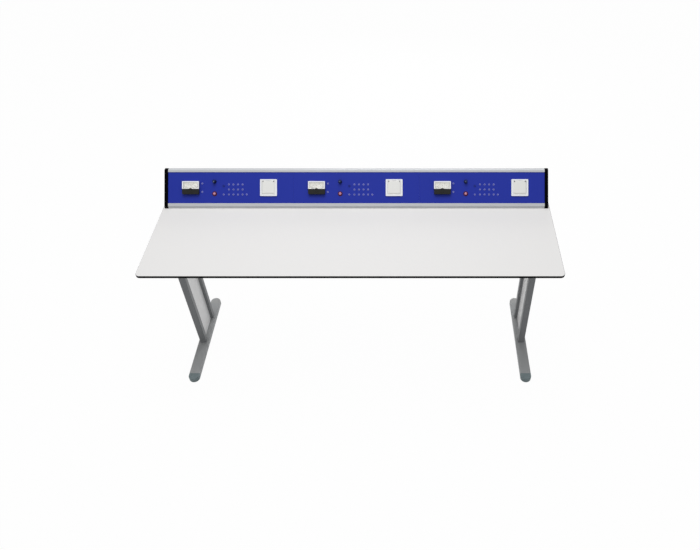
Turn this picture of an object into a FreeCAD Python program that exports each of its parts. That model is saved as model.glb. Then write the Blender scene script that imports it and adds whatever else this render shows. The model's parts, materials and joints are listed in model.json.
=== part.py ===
import FreeCAD, Part
import math
import os
from FreeCAD import Vector

# Science lab table: a compact laminate worktop on two column legs, with a sloped
# supply console along its rear edge that holds three identical stations.
# Frame: origin on the floor under the middle of the worktop, +X along the
# worktop, +Y to the rear, +Z up. Millimetres and degrees.

# Worktop
work_height = 750.0
worktop_length = 1800.0
worktop_depth = 600.0
worktop_thickness = 12.0
worktop_corner_radius = 20.0
worktop_edge_chamfer = 1.2

# Console extrusion and its end caps
console_end_inset = 8.8
console_rear_inset = 14.0
console_front_height = 13.0
console_face_length = 167.5
console_lean = 45.0
console_top_depth = 16.0
console_wall = 2.0
lower_lip_width = 13.2
upper_lip_width = 9.6
lip_thickness = 2.0
groove_depth = 6.0
groove_ledge = 2.0
groove_clearance = 0.15
console_edge_round = 1.2
end_cap_thickness = 16.2
end_cap_overhang = 1.0
end_cap_round = 5.0
end_cap_spigot = 8.0
end_cap_spigot_wall = 2.5
end_cap_spigot_clearance = 0.3
screw_port_radius = 4.5
screw_port_sink = 1.0
screw_port_front_offset = 30.0
cap_screw_radius = 2.1
cap_screw_length = 28.0
cap_screw_head_radius = 4.2
cap_screw_head_height = 2.6

# Stations on the console
station_count = 3
panel_thickness = 2.0
panel_groove_clearance = 0.5
panel_joint_gap = 0.3
cutout_clearance = 0.3

# Panel meter, left of each station's centre
meter_offset = -183.8
meter_rise = -1.5
meter_width = 78.0
meter_hood_height = 24.8
meter_window_height = 35.7
meter_depth = 14.0
meter_base_thickness = 3.0
meter_wall = 2.0
meter_corner_radius = 2.5
meter_barrel_radius = 27.0
meter_barrel_depth = 30.0
meter_pivot_drop = 7.5
meter_boss_radius = 10.5
meter_boss_proud = 1.0
zero_screw_radius = 2.6
zero_screw_proud = 0.6
zero_screw_slot = 0.8
dial_thickness = 0.8
dial_margin = 1.0
pointer_reach = 31.0
pointer_tail = 7.0
pointer_width = 1.2
pointer_thickness = 0.6
pointer_height = 3.0
pointer_hub_radius = 3.0
pointer_staff_radius = 0.8
pointer_seat_gap = 0.3
pointer_zero_angle = 55.0

# Four-millimetre test sockets
meter_socket_offset = -132.5
meter_socket_spread = 39.0
socket_row_drop = 8.3
socket_row_pitch = 23.4
socket_column_start = -9.0
socket_column_pitch = 21.2
socket_columns = 4
socket_rows = 3
extra_socket_left = -33.0
extra_socket_right = 74.0
socket_collar_radius = 4.3
socket_collar_height = 1.8
socket_bore_radius = 2.05
socket_bore_depth = 14.0
socket_barrel_radius = 3.2
socket_barrel_depth = 17.0
socket_nut_radius = 4.8
socket_nut_thickness = 2.4

# Voltage control, fuse holder and illuminated push button
control_offset = -75.3
control_spread = 28.0
knob_radius = 8.6
knob_height = 15.0
knob_taper = 0.6
knob_gap = 0.5
knob_line_width = 1.2
knob_line_depth = 0.6
knob_zero_angle = 135.0
spindle_radius = 3.0
spindle_clearance = 0.08
spindle_length = 9.0
control_bush_radius = 4.6
control_bush_height = 0.35
control_body_radius = 12.0
control_body_depth = 11.0
button_radius = 7.6
button_dome_height = 5.0
button_skirt_height = 2.6
button_travel = 2.0
button_clearance = 0.3
button_stem_radius = 4.0
button_stem_length = 9.0
bezel_radius = 11.2
bezel_height = 1.4
bezel_body_radius = 8.6
bezel_body_depth = 26.0
fuse_offset = -33.0
fuse_rise = 8.0
fuse_cap_radius = 6.0
fuse_cap_height = 1.2
fuse_body_radius = 5.0
fuse_body_depth = 24.0
fuse_slot_width = 1.4
fuse_slot_depth = 0.7

# Mains outlet with a hinged lid, right of each station's centre
outlet_offset = 175.7
frame_side = 78.0
frame_height = 5.5
frame_round = 2.5
frame_corner_radius = 3.0
frame_gap = 0.3
insert_side = 63.4
insert_plate_thickness = 4.0
insert_body_side = 52.0
insert_body_depth = 32.0
cup_radius = 19.6
cup_depth = 17.5
pin_hole_radius = 2.6
pin_hole_spacing = 19.0
pin_hole_depth = 12.0
lid_width = 62.4
lid_drop = 32.0
lid_gap = 0.3
lid_thickness = 4.6
lid_side_bevel = 5.5
lid_front_bevel = 7.0
lid_edge_thickness = 0.5
lid_pocket_depth = 2.4
lid_pocket_wall = 5.0
hinge_rise = 29.2
hinge_knuckle_radius = 2.2
hinge_pin_radius = 1.0
hinge_pin_length = 53.4
hinge_bore_clearance = 0.08
hinge_lug_offset = 25.0
hinge_lug_width = 2.4
hinge_slot_width = 4.8
hinge_slot_reach = 4.4
hinge_relief = 0.25
spring_length = 14.0
spring_wall = 0.45

# Supply unit behind each station, and the blanked cable gland at the rear
supply_offset = 15.0
supply_length = 100.0
supply_depth = 56.0
supply_height = 34.0
supply_rear_gap = 6.0
supply_edge_chamfer = 2.0
supply_flange = 9.0
supply_flange_thickness = 2.5
gland_end_inset = 90.0
gland_rise = 32.0
gland_thread_radius = 8.0
gland_thread_length = 8.0
gland_hex_radius = 12.0
gland_hex_length = 4.0
gland_dome_radius = 10.0
gland_dome_length = 8.0
gland_mouth_radius = 5.0
gland_mouth_depth = 3.0

# Legs
leg_inset = 75.5
post_width = 32.0
post_depth = 25.0
post_wall = 2.0
post_edge_round = 2.0
column_front_inset = 240.5
column_depth = 194.0
foot_front_inset = 3.5
foot_length = 556.0
foot_width = 52.0
foot_height = 25.0
foot_wall = 2.5
foot_edge_round = 3.0
foot_cap_straight = 13.0
foot_cap_spigot = 18.0
foot_cap_clearance = 0.25
arm_height = 40.0
arm_length = 500.0
arm_wall = 2.0
infill_thickness = 3.0
infill_recess = 15.0
infill_tab_width = 25.0
infill_tab_depth = 14.0
infill_tab_thickness = 2.0
infill_tab_end_share = 0.12
infill_side_gap = 0.5
infill_screw_radius = 2.0
infill_screw_head_radius = 3.8
infill_screw_head_height = 2.0

# Longitudinal beams and the fasteners under the worktop
beam_front_lead = 90.5
beam_rear_lag = 15.5
beam_height = 40.0
beam_depth = 20.0
beam_wall = 2.0
beam_plug_length = 14.0
beam_bolt_radius = 4.0
beam_bolt_head_radius = 7.0
beam_bolt_head_height = 5.0
hole_clearance = 0.25
worktop_screw_radius = 3.0
worktop_screw_bite = 8.0
worktop_screw_head_radius = 5.5
worktop_screw_head_height = 3.2
worktop_screw_spacing = 430.0
worktop_screw_lead = 40.5
console_screw_radius = 2.5
console_screw_head_radius = 4.5
console_screw_head_height = 2.8
console_screw_end_inset = 90.0
console_nut_radius = 4.6
console_nut_thickness = 4.0

# Levelling feet
pad_radius = 20.0
pad_thickness = 6.0
pad_edge_round = 1.5
foot_stem_radius = 4.0
foot_stem_clearance = 0.1
foot_stem_length = 20.0

# One overrun serves every cut, and one tolerance every search for an edge
overrun = 1.0
tolerance = 0.000001

# Places that follow from the sizes above
console_length = worktop_length - 2 * console_end_inset
console_back = worktop_depth / 2 - console_rear_inset
lean = math.radians(console_lean)
face_run = console_face_length * math.cos(lean)
face_rise = console_face_length * math.sin(lean)
console_front = console_back - console_top_depth - face_run
console_knee = work_height + console_front_height
console_top = console_knee + face_rise
housing_length = console_length - 2 * end_cap_thickness
panel_sink = lip_thickness + groove_clearance
ledge_sink = panel_sink + panel_thickness
cavity_sink = ledge_sink + groove_ledge
opening_low = lower_lip_width
opening_high = console_face_length - upper_lip_width
opening_middle = (opening_low + opening_high) / 2
module_pitch = housing_length / station_count
meter_height = meter_hood_height + meter_window_height
meter_split = meter_hood_height - meter_height / 2
meter_pivot = meter_split - meter_pivot_drop
foot_base = pad_thickness
foot_top = foot_base + foot_height
worktop_under = work_height - worktop_thickness
arm_under = worktop_under - arm_height
leg_x = worktop_length / 2 - leg_inset
front_post_y = -worktop_depth / 2 + column_front_inset
rear_post_y = front_post_y + column_depth - post_depth
beam_front_y = front_post_y - beam_front_lead
beam_rear_y = rear_post_y + post_depth + beam_rear_lag
foot_front = -worktop_depth / 2 + foot_front_inset
foot_rear = foot_front + foot_length
cap_radius = foot_width / 2
hinge_height = insert_plate_thickness + lid_gap + hinge_knuckle_radius


# Small helpers

def block(x, y, z):
    """Box between two corners given as (low, high) pairs."""
    return Part.makeBox(x[1] - x[0], y[1] - y[0], z[1] - z[0], Vector(x[0], y[0], z[0]))


def centred(width, depth, z):
    """Box centred on the Z axis between two heights."""
    return block((-width / 2, width / 2), (-depth / 2, depth / 2), z)


def rod(radius, z, x=0.0, y=0.0):
    """Upright cylinder between two heights."""
    return Part.makeCylinder(radius, z[1] - z[0], Vector(x, y, z[0]))


def rod_x(radius, x, y, z):
    """Cylinder along X between two places."""
    return Part.makeCylinder(radius, x[1] - x[0], Vector(x[0], y, z), Vector(1, 0, 0))


def hexagon(radius, z, x=0.0, y=0.0):
    """Upright hexagonal prism, its radius taken to the corners."""
    corners = []
    for side in range(7):
        turn = math.radians(60 * side)
        corners.append(Vector(x + radius * math.cos(turn), y + radius * math.sin(turn), z[0]))
    face = Part.Face(Part.makePolygon(corners))
    return face.extrude(Vector(0, 0, z[1] - z[0]))


def upright_edges(shape):
    """Edges that run along Z."""
    return [edge for edge in shape.Edges if is_along(edge, Vector(0, 0, 1))]


def is_along(edge, direction):
    """True for a straight edge parallel to a direction."""
    if edge.Curve.TypeId != "Part::GeomLine":
        return False
    return abs(edge.Curve.Direction.dot(direction)) > 0.999


def edges_at_height(shape, height):
    """Edges that lie wholly at one height."""
    level_edges = []
    for edge in shape.Edges:
        box = edge.BoundBox
        if abs(box.ZMin - height) < tolerance and abs(box.ZMax - height) < tolerance:
            level_edges.append(edge)
    return level_edges


def rounded_plate(width, depth, z, corner):
    """Centred plate with rounded upright corners."""
    plate = centred(width, depth, z)
    return plate.makeFillet(corner, upright_edges(plate))


def extruded_along_x(points, x):
    """Prism with a section given as (y, z) points, between two X places."""
    corners = [Vector(x[0], y, z) for y, z in points]
    corners.append(corners[0])
    return Part.Face(Part.makePolygon(corners)).extrude(Vector(x[1] - x[0], 0, 0))


def group(shapes):
    """Separate solids that share one node."""
    return shapes[0] if len(shapes) == 1 else Part.makeCompound(shapes)


def mirrored(shape):
    """The same piece on the other side of the middle plane."""
    return shape.mirror(Vector(0, 0, 0), Vector(1, 0, 0))


def save(name, shape):
    """Write one node."""
    shape.exportStep("parts/" + name + ".step")


# The sloped face: along is measured up the slope from its lower corner, and out
# is measured away from the outer surface of the lips.

def on_slope(along, out):
    y = console_front + along * math.cos(lean) - out * math.sin(lean)
    z = console_knee + along * math.sin(lean) + out * math.cos(lean)
    return y, z


def console_outline(front, slope, top, back, base):
    """Five corners of the console's section, each side moved outwards."""
    knee_along = (slope * math.sin(lean) - front) / math.cos(lean)
    knee = on_slope(knee_along, slope)
    brow_along = console_face_length + (top - slope * math.cos(lean)) / math.sin(lean)
    brow = on_slope(brow_along, slope)
    return [
        (console_front - front, work_height - base),
        (console_back + back, work_height - base),
        (console_back + back, console_top + top),
        brow,
        knee,
    ]


def station_x(index):
    return (index - (station_count - 1) / 2) * module_pitch


def on_station(shape, index, along_x=0.0, along_slope=0.0):
    """Place a piece modelled flat, with its seat at height 0, on a station's panel."""
    y, z = on_slope(opening_middle, -panel_sink)
    placed = shape.copy()
    placed.translate(Vector(along_x, along_slope, 0))
    placed.rotate(Vector(0, 0, 0), Vector(1, 0, 0), console_lean)
    placed.translate(Vector(station_x(index), y, z))
    return placed


def on_every_station(shape, along_x=0.0, along_slope=0.0):
    return [on_station(shape, i, along_x, along_slope) for i in range(station_count)]


# Worktop and console

def worktop_screw_places():
    middle = front_post_y - worktop_screw_lead
    rows = (-worktop_screw_spacing / 2, middle, worktop_screw_spacing / 2)
    return [(side * leg_x, row) for side in (-1, 1) for row in rows]


def console_screw_places():
    y = console_front + (console_back - console_front) / 2
    ends = console_length / 2 - console_screw_end_inset
    return [(x, y) for x in (-ends, -module_pitch / 2, module_pitch / 2, ends)]


def make_worktop():
    """Board whose upper face is split along the console, so that the free part is a face of its own."""
    length = (-worktop_length / 2, worktop_length / 2)
    height = (worktop_under, work_height)
    console_line = console_front - end_cap_overhang
    free_part = block(length, (-worktop_depth / 2, console_line), height)
    top = free_part.fuse(block(length, (console_line, worktop_depth / 2), height))
    corners = []
    for edge in upright_edges(top):
        if abs(edge.BoundBox.Center.y) > worktop_depth / 2 - tolerance:
            corners.append(edge)
    top = top.makeFillet(worktop_corner_radius, corners)
    rims = edges_at_height(top, work_height) + edges_at_height(top, worktop_under)
    top = top.makeChamfer(worktop_edge_chamfer, rims)
    for x, y in worktop_screw_places():
        bite = (worktop_under - overrun, worktop_under + worktop_screw_bite + hole_clearance)
        top = top.cut(rod(worktop_screw_radius + hole_clearance, bite, x, y))
    for x, y in console_screw_places():
        through = (worktop_under - overrun, work_height + overrun)
        top = top.cut(rod(console_screw_radius + hole_clearance, through, x, y))
    return top


def screw_port_places():
    reach = console_wall + screw_port_radius - screw_port_sink
    low = work_height + reach
    return [
        (console_front + screw_port_front_offset, low),
        (console_back - reach, low),
        (console_back - reach, console_top - reach),
    ]


def gland_place():
    return console_length / 2 - gland_end_inset, work_height + gland_rise


def make_console_housing():
    floor_front, floor_back, top_back, brow, knee = console_outline(0, 0, 0, 0, 0)
    walls = -console_wall
    inside = console_outline(walls, -cavity_sink, walls, walls, walls)
    in_front, in_back, in_top, in_brow, in_knee = inside
    section = [
        floor_front, floor_back, top_back, brow,
        on_slope(opening_high, 0),
        on_slope(opening_high, -lip_thickness),
        on_slope(opening_high + groove_depth, -lip_thickness),
        on_slope(opening_high + groove_depth, -ledge_sink),
        on_slope(opening_high, -ledge_sink),
        on_slope(opening_high, -cavity_sink),
        in_brow, in_top, in_back, in_front, in_knee,
        on_slope(opening_low, -cavity_sink),
        on_slope(opening_low, -ledge_sink),
        on_slope(opening_low - groove_depth, -ledge_sink),
        on_slope(opening_low - groove_depth, -lip_thickness),
        on_slope(opening_low, -lip_thickness),
        on_slope(opening_low, 0),
        knee,
    ]
    span = (-housing_length / 2, housing_length / 2)
    housing = extruded_along_x(section, span)
    rounded = [edge_through(housing, corner) for corner in (top_back, brow, knee)]
    housing = housing.makeFillet(console_edge_round, rounded)
    for y, z in screw_port_places():
        housing = housing.fuse(rod_x(screw_port_radius, span, y, z))
    bore_span = (span[0] - overrun, span[1] + overrun)
    for y, z in screw_port_places():
        housing = housing.cut(rod_x(cap_screw_radius + hole_clearance, bore_span, y, z))
    for x, y in console_screw_places():
        through = (work_height - overrun, work_height + console_wall + overrun)
        housing = housing.cut(rod(console_screw_radius + hole_clearance, through, x, y))
    gland_x, gland_z = gland_place()
    gland_hole = Part.makeCylinder(
        gland_thread_radius + hole_clearance,
        console_wall + 2 * overrun,
        Vector(gland_x, console_back - console_wall - overrun, gland_z),
        Vector(0, 1, 0),
    )
    return housing.cut(gland_hole).removeSplitter()


def edge_through(shape, corner):
    """The long edge along X that passes through a section corner."""
    for edge in shape.Edges:
        if not is_along(edge, Vector(1, 0, 0)):
            continue
        middle = edge.BoundBox.Center
        if abs(middle.y - corner[0]) < tolerance and abs(middle.z - corner[1]) < tolerance:
            return edge
    raise ValueError("no edge at this corner")


def make_end_cap():
    """Cap at the +X end."""
    inner = housing_length / 2
    outer = inner + end_cap_thickness
    grow = end_cap_overhang
    outline = console_outline(grow, grow, grow, grow, 0)
    cap = extruded_along_x(outline, (inner, outer))
    corners = [edge_through(cap, corner) for corner in outline[2:]]
    cap = cap.makeFillet(end_cap_round, corners)
    gap = -console_wall - end_cap_spigot_clearance
    deep = -cavity_sink - end_cap_spigot_clearance
    wall = end_cap_spigot_wall
    sleeve = console_outline(gap, deep, gap, gap, gap)
    hollow = console_outline(gap - wall, deep - wall, gap - wall, gap - wall, gap - wall)
    spigot = extruded_along_x(sleeve, (inner - end_cap_spigot, inner))
    core = extruded_along_x(hollow, (inner - end_cap_spigot - overrun, inner))
    spigot = spigot.cut(core)
    port_radius = screw_port_radius + end_cap_spigot_clearance
    port_span = (inner - end_cap_spigot - overrun, inner)
    for y, z in screw_port_places():
        spigot = spigot.cut(rod_x(port_radius, port_span, y, z))
    cap = cap.fuse(spigot)
    for y, z in screw_port_places():
        cap = cap.cut(rod_x(cap_screw_radius + hole_clearance, (inner - overrun, outer + overrun), y, z))
        sink = outer - cap_screw_head_height - hole_clearance
        cap = cap.cut(rod_x(cap_screw_head_radius + hole_clearance, (sink, outer + overrun), y, z))
    return cap.removeSplitter()


def make_end_cap_screws():
    seat = housing_length / 2 + end_cap_thickness - cap_screw_head_height - hole_clearance
    screws = []
    for y, z in screw_port_places():
        shank = rod_x(cap_screw_radius, (seat - cap_screw_length, seat), y, z)
        head = rod_x(cap_screw_head_radius, (seat, seat + cap_screw_head_height), y, z)
        screw = shank.fuse(head)
        screws.append(screw)
        screws.append(mirrored(screw))
    return group(screws)


def make_console_fixings():
    pieces = []
    for x, y in console_screw_places():
        nut_seat = work_height + console_wall
        tip = nut_seat + console_nut_thickness + console_nut_thickness / 4
        shank = rod(console_screw_radius, (worktop_under, tip), x, y)
        head_span = (worktop_under - console_screw_head_height, worktop_under)
        head = rod(console_screw_head_radius, head_span, x, y)
        pieces.append(shank.fuse(head))
        nut_span = (nut_seat, nut_seat + console_nut_thickness)
        nut = hexagon(console_nut_radius, nut_span, x, y)
        bore = (nut_span[0] - overrun, nut_span[1] + overrun)
        pieces.append(nut.cut(rod(console_screw_radius + hole_clearance / 2, bore, x, y)))
    return group(pieces)


def make_cable_gland():
    """Gland on the rear wall, its mouth blanked by a closed membrane."""
    x, z = gland_place()
    hex_end = gland_hex_length
    dome_end = hex_end + gland_dome_length
    gland = hexagon(gland_hex_radius, (0, hex_end))
    dome = rod(gland_dome_radius, (hex_end, dome_end))
    dome = dome.makeFillet(gland_dome_radius / 4, edges_at_height(dome, dome_end))
    thread = rod(gland_thread_radius, (-gland_thread_length, 0))
    mouth = rod(gland_mouth_radius, (dome_end - gland_mouth_depth, dome_end + overrun))
    gland = gland.fuse(dome).fuse(thread).cut(mouth)
    gland.rotate(Vector(0, 0, 0), Vector(1, 0, 0), -90)
    gland.translate(Vector(x, console_back, z))
    return gland


def make_supply_unit():
    """Encapsulated supply on the console floor, with a fixing flange at each end."""
    rear_port = 2 * screw_port_radius - screw_port_sink
    rear = console_back - console_wall - rear_port - supply_rear_gap
    floor = work_height + console_wall
    half = supply_length / 2
    body = block((-half, half), (rear - supply_depth, rear), (floor, floor + supply_height))
    body = body.makeChamfer(supply_edge_chamfer, edges_at_height(body, floor + supply_height))
    flange = block(
        (-half - supply_flange, half + supply_flange),
        (rear - supply_depth / 2 - supply_flange, rear - supply_depth / 2 + supply_flange),
        (floor, floor + supply_flange_thickness),
    )
    return body.fuse(flange)


def make_supply_units():
    units = []
    for index in range(station_count):
        unit = make_supply_unit()
        unit.translate(Vector(station_x(index) + supply_offset, 0, 0))
        units.append(unit)
    return group(units)


# Station pieces, modelled flat with the panel's outer face at height 0

def socket_places():
    places = []
    for side in (-1, 1):
        places.append((meter_socket_offset, side * meter_socket_spread / 2))
    for row in range(socket_rows):
        rise = -socket_row_drop + (row - (socket_rows - 1) / 2) * socket_row_pitch
        for column in range(socket_columns):
            places.append((socket_column_start + column * socket_column_pitch, rise))
    lowest = -socket_row_drop - (socket_rows - 1) / 2 * socket_row_pitch
    places.append((extra_socket_left, lowest))
    places.append((extra_socket_right, lowest))
    return places


def make_module_panel():
    slope_reach = opening_high - opening_low + 2 * (groove_depth - panel_groove_clearance)
    panel = centred(module_pitch - panel_joint_gap, slope_reach, (-panel_thickness, 0))
    through = (-panel_thickness - overrun, overrun)
    holes = [rod(meter_barrel_radius + cutout_clearance, through, meter_offset, meter_rise)]
    holes.append(rod(control_bush_radius + cutout_clearance, through, control_offset, control_spread))
    holes.append(rod(bezel_body_radius + cutout_clearance, through, control_offset, -control_spread))
    holes.append(rod(fuse_body_radius + cutout_clearance, through, fuse_offset, fuse_rise))
    for x, y in socket_places():
        holes.append(rod(socket_barrel_radius + cutout_clearance, through, x, y))
    side = insert_body_side + 2 * cutout_clearance
    outlet_hole = centred(side, side, through)
    outlet_hole.translate(Vector(outlet_offset, 0, 0))
    holes.append(outlet_hole)
    return panel.cut(Part.makeCompound(holes))


def make_meter_case():
    """Black base with its barrel, and the hood over the movement below the window."""
    half = meter_width / 2
    low = -meter_height / 2
    base = rounded_plate(meter_width, meter_height, (0, meter_base_thickness), meter_corner_radius)
    hood = block((-half, half), (low, meter_split), (meter_base_thickness, meter_depth))
    lower_corners = [edge for edge in upright_edges(hood) if edge.BoundBox.YMax < meter_split - overrun]
    hood = hood.makeFillet(meter_corner_radius, lower_corners)
    hollow = block(
        (-half + meter_wall, half - meter_wall),
        (low + meter_wall, meter_split + overrun),
        (meter_base_thickness, meter_depth - meter_wall),
    )
    hood = hood.cut(hollow)
    boss_span = (meter_depth - meter_wall, meter_depth + meter_boss_proud)
    boss = rod(meter_boss_radius, boss_span, 0, meter_pivot)
    adjuster_span = (boss_span[1], boss_span[1] + zero_screw_proud)
    adjuster = rod(zero_screw_radius, adjuster_span, 0, meter_pivot)
    slot = block(
        (-zero_screw_radius, zero_screw_radius),
        (meter_pivot - zero_screw_slot / 2, meter_pivot + zero_screw_slot / 2),
        (adjuster_span[0], adjuster_span[1] + overrun),
    )
    barrel = rod(meter_barrel_radius, (-meter_barrel_depth, 0))
    return base.fuse([hood, boss, adjuster.cut(slot), barrel]).removeSplitter()


def make_meter_window():
    """Clear moulding over the dial, notched round the pivot boss."""
    half = meter_width / 2
    high = meter_height / 2
    shell = block((-half, half), (meter_split, high), (meter_base_thickness, meter_depth))
    upper_corners = [edge for edge in upright_edges(shell) if edge.BoundBox.YMin > meter_split + overrun]
    shell = shell.makeFillet(meter_corner_radius, upper_corners)
    hollow = block(
        (-half + meter_wall, half - meter_wall),
        (meter_split - overrun, high - meter_wall),
        (meter_base_thickness - overrun, meter_depth - meter_wall),
    )
    notch_span = (meter_base_thickness, meter_depth + overrun)
    notch = rod(meter_boss_radius + hole_clearance, notch_span, 0, meter_pivot)
    return shell.cut(hollow).cut(notch)


def make_meter_dial():
    half = meter_width / 2 - meter_wall - dial_margin
    low = -meter_height / 2 + meter_wall + dial_margin
    high = meter_height / 2 - meter_wall - dial_margin
    z = (meter_base_thickness, meter_base_thickness + dial_thickness)
    dial = block((-half, half), (low, high), z)
    staff_hole = rod(pointer_hub_radius, (z[0] - overrun, z[1] + overrun), 0, meter_pivot)
    return dial.cut(staff_hole)


def make_meter_pointer():
    """Needle at zero on the left of its arc, on its staff."""
    level = meter_base_thickness + dial_thickness + pointer_height
    z = (level, level + pointer_thickness)
    blade = [
        Vector(-pointer_width / 2, -pointer_tail, z[0]),
        Vector(pointer_width / 2, -pointer_tail, z[0]),
        Vector(pointer_width / 2, 0, z[0]),
        Vector(pointer_width / 6, pointer_reach, z[0]),
        Vector(-pointer_width / 6, pointer_reach, z[0]),
        Vector(-pointer_width / 2, 0, z[0]),
    ]
    blade.append(blade[0])
    needle = Part.Face(Part.makePolygon(blade)).extrude(Vector(0, 0, pointer_thickness))
    hub = rod(pointer_hub_radius, (z[0] - pointer_thickness, z[1] + pointer_thickness))
    staff_span = (
        meter_base_thickness + pointer_seat_gap,
        meter_depth - meter_wall - pointer_seat_gap,
    )
    staff = rod(pointer_staff_radius, staff_span)
    pointer = needle.fuse([hub, staff]).removeSplitter()
    pointer.rotate(Vector(0, 0, 0), Vector(0, 0, 1), pointer_zero_angle)
    pointer.translate(Vector(0, meter_pivot, 0))
    return pointer


def make_test_socket():
    """Collar in front of the panel, barrel behind it and a blind bore for a plug."""
    collar = rod(socket_collar_radius, (0, socket_collar_height))
    rim = edges_at_height(collar, socket_collar_height)
    collar = collar.makeChamfer(socket_collar_height / 4, rim)
    barrel = rod(socket_barrel_radius, (-socket_barrel_depth, 0))
    bore = rod(socket_bore_radius, (-socket_bore_depth, socket_collar_height + overrun))
    return collar.fuse(barrel).cut(bore).removeSplitter()


def make_socket_nut():
    z = (-panel_thickness - socket_nut_thickness, -panel_thickness)
    nut = hexagon(socket_nut_radius, z)
    bore = rod(socket_barrel_radius + hole_clearance / 2, (z[0] - overrun, z[1] + overrun))
    return nut.cut(bore)


def make_control_body():
    """Fixed part of the rotary control: bush through the panel, nut seat and body."""
    bush = rod(control_bush_radius, (-panel_thickness, control_bush_height))
    back = -panel_thickness - control_body_depth
    body = rod(control_body_radius, (back, -panel_thickness))
    bore_span = (-spindle_length - pointer_seat_gap, control_bush_height + overrun)
    bore = rod(spindle_radius + spindle_clearance, bore_span)
    return bush.fuse(body).cut(bore).removeSplitter()


def make_control_knob():
    """Tapered knob in one piece with its spindle, the line on its crown at zero."""
    top = knob_gap + knob_height
    body = Part.makeCone(knob_radius, knob_radius - knob_taper, knob_height, Vector(0, 0, knob_gap))
    body = body.makeFillet(knob_taper, edges_at_height(body, top))
    line = block(
        (-knob_line_width / 2, knob_line_width / 2),
        (0, knob_radius + overrun),
        (top - knob_line_depth, top + overrun),
    )
    spindle = rod(spindle_radius, (-spindle_length, knob_gap))
    knob = body.cut(line).fuse(spindle).removeSplitter()
    knob.rotate(Vector(0, 0, 0), Vector(0, 0, 1), knob_zero_angle)
    return knob


def make_button_bezel():
    """Ring in front of the panel with the switch body behind it."""
    ring = rod(bezel_radius, (0, bezel_height))
    ring = ring.makeFillet(bezel_height / 3, edges_at_height(ring, bezel_height))
    body = rod(bezel_body_radius, (-bezel_body_depth, 0))
    well_floor = -button_travel - button_clearance
    well = rod(button_radius + button_clearance, (well_floor, bezel_height + overrun))
    stem_well = -button_stem_length - button_travel - button_clearance
    stem_hole = rod(button_stem_radius + button_clearance, (stem_well, overrun))
    return ring.fuse(body).cut(well).cut(stem_hole).removeSplitter()


def make_push_button():
    """Domed lens with a short skirt and the stem that works the switch."""
    skirt = rod(button_radius, (0, button_skirt_height))
    sphere_radius = (button_radius ** 2 + button_dome_height ** 2) / (2 * button_dome_height)
    centre = button_skirt_height + button_dome_height - sphere_radius
    ball = Part.makeSphere(sphere_radius, Vector(0, 0, centre))
    dome_span = (button_skirt_height, button_skirt_height + button_dome_height + overrun)
    dome = ball.common(rod(button_radius, dome_span))
    stem = rod(button_stem_radius, (-button_stem_length, 0))
    return skirt.fuse([dome, stem]).removeSplitter()


def make_fuse_cap():
    """Flush screw cap of the fuse holder, slotted, with the holder behind it."""
    cap = rod(fuse_cap_radius, (0, fuse_cap_height))
    cap = cap.makeChamfer(fuse_cap_height / 3, edges_at_height(cap, fuse_cap_height))
    slot = block(
        (-fuse_cap_radius, fuse_cap_radius),
        (-fuse_slot_width / 2, fuse_slot_width / 2),
        (fuse_cap_height - fuse_slot_depth, fuse_cap_height + overrun),
    )
    holder = rod(fuse_body_radius, (-fuse_body_depth, 0))
    return cap.cut(slot).fuse(holder).removeSplitter()


# Mains outlet

def make_outlet_frame():
    frame = rounded_plate(frame_side, frame_side, (0, frame_height), frame_corner_radius)
    frame = frame.makeFillet(frame_round, edges_at_height(frame, frame_height))
    window = insert_side + 2 * frame_gap
    return frame.cut(centred(window, window, (-overrun, frame_height + overrun)))


def make_outlet_insert():
    """Plate with the plug cup, the box behind the panel and two hinge lugs."""
    plate = centred(insert_side, insert_side, (0, insert_plate_thickness))
    box = centred(insert_body_side, insert_body_side, (-insert_body_depth, 0))
    insert = plate.fuse(box)
    floor = insert_plate_thickness - cup_depth
    insert = insert.cut(rod(cup_radius, (floor, insert_plate_thickness + overrun)))
    for side in (-1, 1):
        hole_span = (floor - pin_hole_depth, floor + overrun)
        insert = insert.cut(rod(pin_hole_radius, hole_span, side * pin_hole_spacing / 2))
    for side in (-1, 1):
        x = side * hinge_lug_offset
        width = (x - hinge_lug_width / 2, x + hinge_lug_width / 2)
        reach = (hinge_rise - hinge_knuckle_radius, hinge_rise + hinge_knuckle_radius)
        lug = block(width, reach, (insert_plate_thickness, hinge_height))
        ear = rod_x(hinge_knuckle_radius, width, hinge_rise, hinge_height)
        insert = insert.fuse([lug, ear])
    reach = hinge_pin_length / 2
    bore = rod_x(hinge_pin_radius + hinge_bore_clearance, (-reach, reach), hinge_rise, hinge_height)
    return insert.cut(bore).removeSplitter()


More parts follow.
